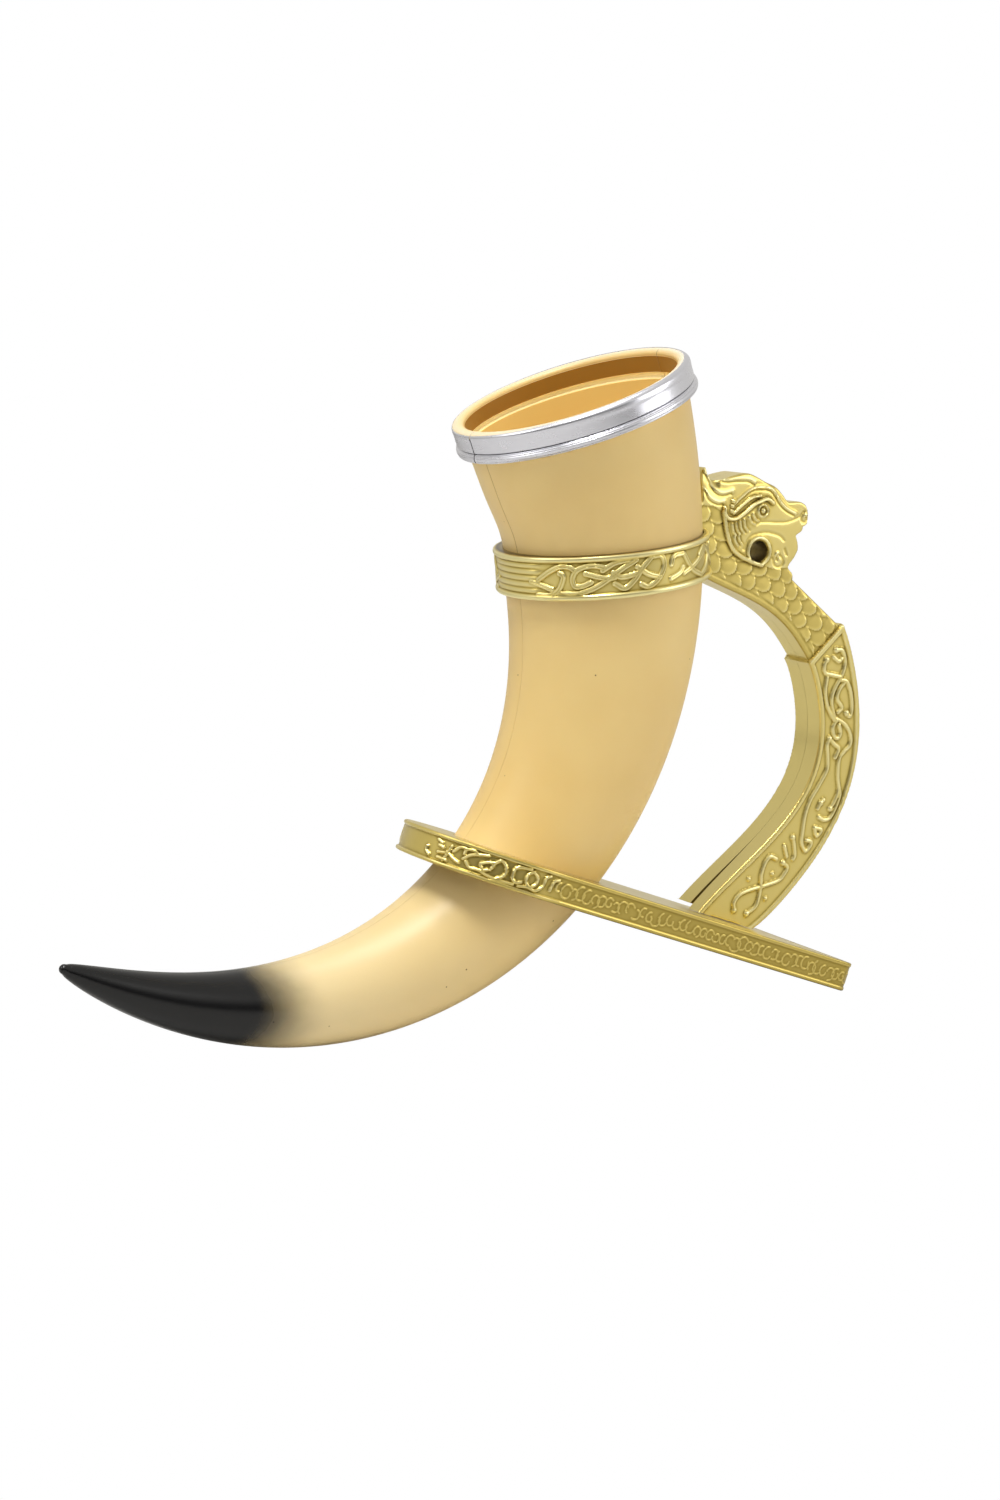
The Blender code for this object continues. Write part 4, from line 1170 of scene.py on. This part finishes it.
# %% [markdown]
# Handle halves
#
# Each half is the carved face, a wall down to the parting plane all round and through the jaw hole, and a
# flat back. Both halves come from the same net, so they meet exactly. The far half is the mirror image,
# with a lower crest. Along the lower grip the two halves stand a little apart, as the photo shows a dark
# crack there, and the far half ends a little above the plank.

# %% Two handle halves
WALL_CORNER = 0.2
CRACK_WIDTH = 1.5
# share of its height that the crest loses, and gap between foot and plank, on the near and the far half
CREST_LOSS = (0.40, 0.90)
FOOT_GAP = (0.3, 2.4)

# the crest behind the head thins to its tip
head_shares = (net_points - ANCHOR) / HEAD_LENGTH
crest = rise(0.36, 0.55, head_shares[:, 1]) * (1 - rise(0.09, 0.17, head_shares[:, 0]))


def rim_edges(triangles, count):
    """Boundary edges of a triangle net, in face direction: those that no other face runs backwards."""
    pairs = triangle_edges(triangles)
    key = pairs[:, 0] * count + pairs[:, 1]
    other = pairs[:, 1] * count + pairs[:, 0]
    return pairs[~np.isin(key, other)]


def handle_half(name, side, thinned, short):
    """Carved face, walls and back of one half: (x, side height, z), and (x, side gap, z) for the back.

    side is -1 for the near half and +1 for the far one. The crest loses the share thinned of its height, and
    the foot ends short millimetres above the plank.
    """
    count = len(net_points)
    crack = CRACK_WIDTH * rise(0.70, 1.0, share) * (beside < 0) * on_panel * (side < 0)
    back_depth = HALF_GAP + crack * rise(0.0, 1.0, -beside / np.maximum(half_width, 1))
    thin = height * (1 - thinned * crest)
    front = np.stack([net_points[:, 0], side * thin, net_points[:, 1]], axis=1)
    back = np.stack([net_points[:, 0], side * back_depth, net_points[:, 1]], axis=1)
    above = np.maximum(short - (net_points - CROSSING) @ PLANK_UP, 0)
    for layer in (front, back):
        layer[:, 0] += above * PLANK_UP[0] * on_panel
        layer[:, 2] += above * PLANK_UP[1] * on_panel
    tri = net_faces.copy()
    a, b, c = (net_points[tri[:, i]] for i in range(3))
    winding = (b[:, 0] - a[:, 0]) * (c[:, 1] - a[:, 1]) - (b[:, 1] - a[:, 1]) * (c[:, 0] - a[:, 0])
    tri[winding < 0] = tri[winding < 0][:, ::-1]
    rim = rim_edges(tri, count)
    # a ring just under the corner keeps the wall flat below it
    under = front.copy()
    under[:, 1] = side * np.maximum(thin - WALL_CORNER, back_depth)
    bands = [np.stack([rim[:, 1] + top, rim[:, 0] + top, rim[:, 0] + low, rim[:, 1] + low], axis=1)
             for top, low in ((0, 2 * count), (2 * count, count))]
    # the far half is a mirror image, so its faces run the other way
    turned = slice(None, None, -side)
    # only the ring points that the walls use are kept
    used = np.unique(rim)
    keep = np.concatenate([np.arange(2 * count), 2 * count + used])
    renumber = np.zeros(3 * count, int)
    renumber[keep] = np.arange(len(keep))
    skins = renumber[np.vstack([tri, tri[:, ::-1] + count])][:, turned]
    faces = skins.tolist() + renumber[np.vstack(bands)][:, turned].tolist()
    points = np.vstack([front, back, under])[keep]
    # the hole behind the jaw gets a painted shade
    in_hole = np.where(hole_d < JAW_RADIUS + 0.1, 0.2, 0.8)
    tone = np.concatenate([shade, in_hole, in_hole[used]])
    add_piece(name, points, faces, gold, "gold_paint", [name], sharp=50.0, relief=tone)


handle_half("handle_half_near", -1, CREST_LOSS[0], FOOT_GAP[0])
handle_half("handle_half_far", 1, CREST_LOSS[1], FOOT_GAP[1])

# %% [markdown]
# Foot plank
#
# The foot is a plank with a round end. The horn goes through it and the handle stands on it; its tail is
# the rear foot. A block with a hole cut by a Boolean would give long thin faces beside the carving, so it
# is one closed skin of rings that all have the same number of points: out across the top, down the carved
# side, round the rim below, up into the hollow, in to the sleeve and back up the horn's hole. The side has
# knotwork between two raised rims: deep at the round end, shallow and worn along the straight sides.

# %% Cords of the plank's side
# each cord's spots: millimetres round the side from the middle of the round end, and height below the top
BASE_CORDS = [
    [(7.7, -5.6), (7.8, -7.2), (9.4, -8.2)],
    [(11.8, -2.2), (13.9, -3.0)], [(12.9, -3.9), (14.9, -4.4)], [(13.1, -6.3), (16.0, -5.9)],
    [(13.5, -8.0), (17.4, -8.2)], [(16.8, -5.2), (20.0, -6.9), (22.2, -7.6)],
    [(18.1, -3.0), (17.1, -6.0), (16.0, -8.6)],
    [(19.1, -4.5), (21.2, -2.4), (23.5, -2.2)],
    [(23.5, -5.8), (25.7, -3.8), (29.0, -2.7), (32.0, -2.0)],
    [(24.7, -6.3), (26.6, -7.9), (29.8, -7.7), (32.8, -8.5)],
    [(23.4, -4.1), (23.9, -2.4), (26.7, -2.0), (28.2, -2.6)],
    [(29.9, -5.5), (32.2, -4.3), (34.7, -3.7), (36.3, -2.2)],
    [(30.1, -5.9), (31.4, -7.2), (33.0, -6.7)],
    [(33.8, -6.4), (34.8, -3.9), (36.4, -2.3), (38.3, -3.1), (39.3, -5.5), (38.3, -7.6), (36.8, -8.5)],
    [(32.8, -8.5), (36.5, -8.9), (42.7, -8.7)],
    [(44.4, -2.2), (42.2, -3.2), (41.7, -6.0), (43.2, -7.8), (45.3, -7.1)],
    [(43.1, -2.3), (47.7, -2.0)],
    [(48.8, -2.5), (50.8, -4.1), (50.6, -6.4), (48.8, -7.8), (47.0, -6.6), (47.0, -3.9), (48.4, -2.8)],
    [(44.5, -8.7), (47.9, -8.1), (50.9, -8.5), (53.2, -6.5), (53.9, -3.2), (55.3, -2.2)],
    [(56.4, -7.0), (57.2, -3.6), (59.0, -2.7)],
]
# along the straight sides worn, flat scrolls go on: curls of mixed size, thrown by a fixed seed
dice = np.random.default_rng(11)
WORN_CORDS = []
for turn, middle in enumerate(np.arange(60, 198, 3.1)):
    reach, level = dice.uniform(1.9, 3.0), dice.uniform(-6.0, -4.8)
    begin = 1.3 + math.pi * (turn % 3 == 2) + dice.uniform(-0.9, 0.9)
    curl = begin + np.linspace(0, dice.uniform(3.4, 6.0), 14)
    shrink = reach * np.linspace(1.0, dice.uniform(0.40, 0.75), 14)
    curl_p = middle + 0.9 * shrink * np.cos(curl)
    curl_v = level + shrink * np.sin(curl)
    WORN_CORDS.append(np.stack([curl_p, curl_v], axis=1))
print("plank cords:", len(BASE_CORDS), "deep,", len(WORN_CORDS), "worn")

# %% Plan of the plank and the horn's hole
COUNT = int(1150 / FINE)
HOLE_LEAN = 20.0
HOLE_GAP = 0.3
SLEEVE_GAP = 3.0


def plank_loop(inset):
    """Plan of the plank at an inset: half circle, straight sides and small tail corners, evenly spaced."""
    radius = BASE_RADIUS - inset
    corner = max(BASE_CORNER - inset, 1.0)
    end = BASE_TAIL - inset
    front = np.radians(np.linspace(180, 90, 120))
    near = [(BASE_SHIFT + radius * np.cos(front), -radius * np.sin(front))]
    bend = np.radians(np.linspace(-90, 0, 20))
    near.append((end - corner + corner * np.cos(bend), -(radius - corner) + corner * np.sin(bend)))
    one = np.hstack([np.stack(part) for part in near]).T
    both = np.vstack([one, one[::-1][:-1] * [1, -1], one[:1]])
    length = path_lengths(both)[-1]
    places = np.linspace(0, length, COUNT, endpoint=False)
    return at_lengths(both, places), places, length


def on_plank(plan, height):
    """Plan points and height above the top face to the object's x, y and z."""
    flat = CROSSING + plan[:, :1] * PLANK_ALONG + height * PLANK_UP
    return np.stack([flat[:, 0], plan[:, 1], flat[:, 1]], axis=1)


def horn_gap(points):
    """Distance to the horn's skin, negative inside it: least over stations of |p - centre| - radius."""
    least = np.full(len(points), 1e9)
    for s in np.linspace(130, 220, 91):
        centre = horn_centre(np.array([s]))[0]
        away = np.sqrt((points[:, 0] - centre[0]) ** 2 + points[:, 1] ** 2 + (points[:, 2] - centre[1]) ** 2)
        least = np.minimum(least, away - float(horn_radius(s)))
    return least


def horn_hole(plan, height, clearance):
    """Plan of the horn's hole at one height, on rays to the plank's loop: each ray is halved 16 times."""
    middle = np.array([height * math.tan(math.radians(HOLE_LEAN)), 0.0])
    near = np.zeros(len(plan))
    far = np.ones(len(plan))
    for _ in range(16):
        half = (near + far) / 2
        spot = middle + (plan - middle) * half[:, None]
        out = horn_gap(on_plank(spot, height)) > clearance
        far = np.where(out, half, far)
        near = np.where(out, near, half)
    return middle + (plan - middle) * far[:, None]


outer_loop, along_rim, rim_length = plank_loop(0.0)
hole_top = horn_hole(outer_loop, 0.0, HOLE_GAP)
hole_low = horn_hole(outer_loop, -BASE_THICKNESS, HOLE_GAP)
sleeve_top = horn_hole(outer_loop, -BASE_SKIN, SLEEVE_GAP)
sleeve_low = horn_hole(outer_loop, -BASE_THICKNESS, SLEEVE_GAP)
print("plank rim:", round(float(rim_length), 1), "mm long")

# %% Carved side of the plank
RIM_WIDTH = 1.15
FIELD_DEPTH = 0.75
CORNER_ROUND = 0.6
DEEP_HALF = 0.62
WORN_HALF = 0.38
WORN_RISE = 0.55
WORN_LOSS = 0.60
# strength of the painted light and shade on the side, and painted shade added to it and to its worn part
SIDE_CONTRAST = 0.9
WORN_CONTRAST = 0.8
SIDE_DARKER = 0.03
WORN_SIDE_PAINTED_SHADE = 0.12
# millimetres round the side between which the carving turns worn
WORN_START = 54.0
WORN_FULL = 64.0

side_p = np.minimum(along_rim, rim_length - along_rim)
side_v = np.linspace(0, -BASE_THICKNESS, int(44 / FINE))
grid_v, grid_p = np.meshgrid(side_v, side_p, indexing="ij")
side_points = np.stack([grid_p.ravel(), grid_v.ravel()], axis=1)
cords = np.zeros(len(side_points))
for spots in BASE_CORDS:
    cords = np.maximum(cords, cord(side_points, spots, DEEP_HALF))
for spots in WORN_CORDS:
    cords = np.maximum(cords, WORN_RISE * cord(side_points, spots, WORN_HALF, 1.0))
# the far flank of the round end was left plain
plain_end = np.where(outer_loop[:, 1] > 0, rise(20, 26, side_p), 1.0)
cords = cords.reshape(grid_v.shape) * plain_end
to_rim = np.minimum(-grid_v, BASE_THICKNESS + grid_v)
field = rise(RIM_WIDTH, RIM_WIDTH + 0.5, to_rim) * rise(3.0, 7.0, rim_length / 2 - grid_p)
worn = rise(WORN_START, WORN_FULL, grid_p)
sunk = FIELD_DEPTH * (1 - WORN_LOSS * worn) * field * (1 - 0.95 * cords)
gain = SIDE_CONTRAST + WORN_CONTRAST * worn
# painted shade in the sunk field, painted highlight on the cords, more painted shade along the worn sides
side_tone = painted_light_and_shade(-sunk, blur_grid(-sunk, int(10 / FINE)), gain) - SIDE_DARKER - WORN_SIDE_PAINTED_SHADE * worn
sunk = sunk + round_drop(to_rim, CORNER_ROUND)
normal = np.roll(outer_loop, -1, axis=0) - np.roll(outer_loop, 1, axis=0)
normal = np.stack([-normal[:, 1], normal[:, 0]], axis=1) / np.linalg.norm(normal, axis=1)[:, None]
to_middle = np.array([BASE_SHIFT, 0.0]) - outer_loop
inward = np.where((to_middle * normal).sum(axis=1)[:, None] > 0, normal, -normal)
print("plank side sunk by up to", round(float(sunk.max()), 2), "mm")

# %% Gold foot plank with knotwork
TOP_RINGS = 8

top_edge = plank_loop(CORNER_ROUND)[0]
ceiling = plank_loop(BASE_WALL)[0]
plans = [hole_top + (top_edge - hole_top) * t for t in np.linspace(0, 1, TOP_RINGS + 1)[:-1]]
plans += [outer_loop + inward * row[:, None] for row in sunk]
plans += [ceiling, ceiling, sleeve_top, sleeve_low, hole_low]
levels = [0.0] * TOP_RINGS + side_v.tolist()
levels += [-BASE_THICKNESS, -BASE_SKIN, -BASE_SKIN, -BASE_THICKNESS, -BASE_THICKNESS]
base_points = np.vstack([on_plank(plan, level) for plan, level in zip(plans, levels)])
# the tail is cut flat on the table
base_points[:, 2] = np.maximum(base_points[:, 2], 0.0)
base_faces = grid_faces(len(plans), COUNT, wrap_rows=True, wrap_columns=True)
hidden = len(plans) - TOP_RINGS - len(side_v)
relief = np.vstack([np.full((TOP_RINGS, COUNT), 0.75), side_tone, np.full((hidden, COUNT), 0.5)])
add_piece("base", base_points, base_faces, gold, "gold_paint", ["base"], relief=relief)

# %% [markdown]
# Stage
#
# A product shot on white: a large pale floor that the camera sees as plain white, a big soft light above
# and to the left, a fill from the right, a weak light from the far left and one from the top. The room is
# pale for the gold to reflect, apart from a darker strip low on the camera's side, which gives the metal
# and the black tip their dark streaks. The camera stands where the photo was taken: about 0.85 m away, a
# hand above the middle of the horn.

# %% White paper floor
FLOOR_HALF = 4.0
FLOOR_DROP = 0.0005

scene = bpy.context.scene
corners = [(x * FLOOR_HALF, y * FLOOR_HALF, -FLOOR_DROP) for x, y in ((-1, -1), (1, -1), (1, 1), (-1, 1))]
floor_mesh = bpy.data.meshes.new("studio_floor")
floor_mesh.from_pydata(corners, [], [(0, 1, 2, 3)])
floor = bpy.data.objects.new("studio_floor", floor_mesh)
scene.collection.objects.link(floor)
# matt paper: no highlight of its own
paper, tree, surface = finish_material("white_paper_floor")
rays = node(tree, "ShaderNodeLightPath").outputs
# the metal sees a greyer floor than the plastic is lit by, as under a light tent
papers = {"Factor": rays["Is Glossy Ray"], "A": linear("E0DFDC"), "B": linear("CECDCA")}
paper_colour = node(tree, "ShaderNodeMix", papers, "Result", data_type="RGBA")
feed(tree, surface, {"Base Color": paper_colour, "Roughness": 0.9})
bright = node(tree, "ShaderNodeEmission", {"Color": (1, 1, 1, 1), "Strength": 1.0}, "Emission")
seen = {"Fac": rays["Is Camera Ray"], 1: surface.outputs["BSDF"], 2: bright}
seen = node(tree, "ShaderNodeMixShader", seen, "Shader")
feed(tree, tree.nodes["Material Output"], {"Surface": seen})
floor_mesh.materials.append(paper)

# %% Room
TOWARD_CAMERA = (-0.52, -0.85, 0.0)

world = bpy.data.worlds.new("studio_room")
scene.world = world
world.use_nodes = True
tree = world.node_tree
rays = node(tree, "ShaderNodeLightPath").outputs
# shiny faces see pale walls, apart from a darker strip low down on the camera's side
toward = node(tree, "ShaderNodeTexCoord", give="Generated")
facing = node(tree, "ShaderNodeVectorMath", {0: toward, 1: TOWARD_CAMERA}, "Value", operation="DOT_PRODUCT")
upward = node(tree, "ShaderNodeSeparateXYZ", {"Vector": toward}, "Z")
fades = []
for measure, none, full in ((facing, 0.1, 0.7), (upward, 0.50, 0.22)):
    fade = {"Value": measure, "From Min": none, "From Max": full}
    fades.append(node(tree, "ShaderNodeMapRange", fade, "Result", interpolation_type="SMOOTHSTEP"))
dark_strip = node(tree, "ShaderNodeMath", {0: fades[0], 1: fades[1]}, "Value", operation="MULTIPLY")
seen = {"Factor": dark_strip, "A": linear("DCDAD4"), "B": linear("48474A")}
seen = node(tree, "ShaderNodeMix", seen, "Result", data_type="RGBA")
# plastic is lit by a greyer room than the one that shiny faces see
walls = {"Factor": rays["Is Glossy Ray"], "A": linear("A8A6A1"), "B": seen}
walls = node(tree, "ShaderNodeMix", walls, "Result", data_type="RGBA")
# the camera sees plain white
room = {"Factor": rays["Is Camera Ray"], "A": walls, "B": (1, 1, 1, 1)}
room = node(tree, "ShaderNodeMix", room, "Result", data_type="RGBA")
feed(tree, tree.nodes["Background"], {"Color": room, "Strength": 1.0})
print("room:", world.name)

# %% Lights
AIM = (0, 0, 0.1)


def soft_light(name, spot, size, watts):
    """A square soft box at spot that faces the middle of the horn."""
    data = bpy.data.lights.new(name, "AREA")
    data.energy = watts
    data.size = size
    made = bpy.data.objects.new(name, data)
    made.location = spot
    made.rotation_mode = "QUATERNION"
    made.rotation_quaternion = (Vector(AIM) - Vector(spot)).to_track_quat("-Z", "Y")
    scene.collection.objects.link(made)
    return made


key = soft_light("key_soft_box", (-0.50, -0.32, 1.50), 0.40, 14.5)
fill = soft_light("fill_soft_box", (0.9, -0.85, 0.55), 0.80, 5.2)
side = soft_light("side_soft_box", (-1.05, 0.2, 0.85), 0.60, 2.6)
top = soft_light("top_soft_box", (-0.10, 0.10, 1.6), 0.50, 7.6)
print("lights:", key.name, fill.name, side.name, top.name)

# %% Camera
# the camera's right, up and backward directions, and its place in metres
CAMERA_RIGHT = (0.85708, -0.51504, 0.01197)
CAMERA_UP = (0.08278, 0.16062, 0.98354)
CAMERA_BACK = (-0.50847, -0.84198, 0.18030)
CAMERA_PLACE = (-0.4278, -0.7157, 0.2493)

camera_data = bpy.data.cameras.new("photo_camera")
camera_data.sensor_fit = "AUTO"
camera_data.sensor_width = 36.0
camera_data.lens = 58.34
camera_data.clip_start = 0.05
camera_data.clip_end = 20.0
camera = bpy.data.objects.new("photo_camera", camera_data)
turned = Matrix((CAMERA_RIGHT, CAMERA_UP, CAMERA_BACK)).transposed()
camera.matrix_world = Matrix.Translation(CAMERA_PLACE) @ turned.to_4x4()
scene.collection.objects.link(camera)
scene.camera = camera
scene.view_settings.view_transform = "Standard"
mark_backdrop(floor, key, fill, side, top)
print("stage ready")

# %% Size of the shown object
low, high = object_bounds()
print("shown box", [round(v, 4) for v in (*low, *high)])
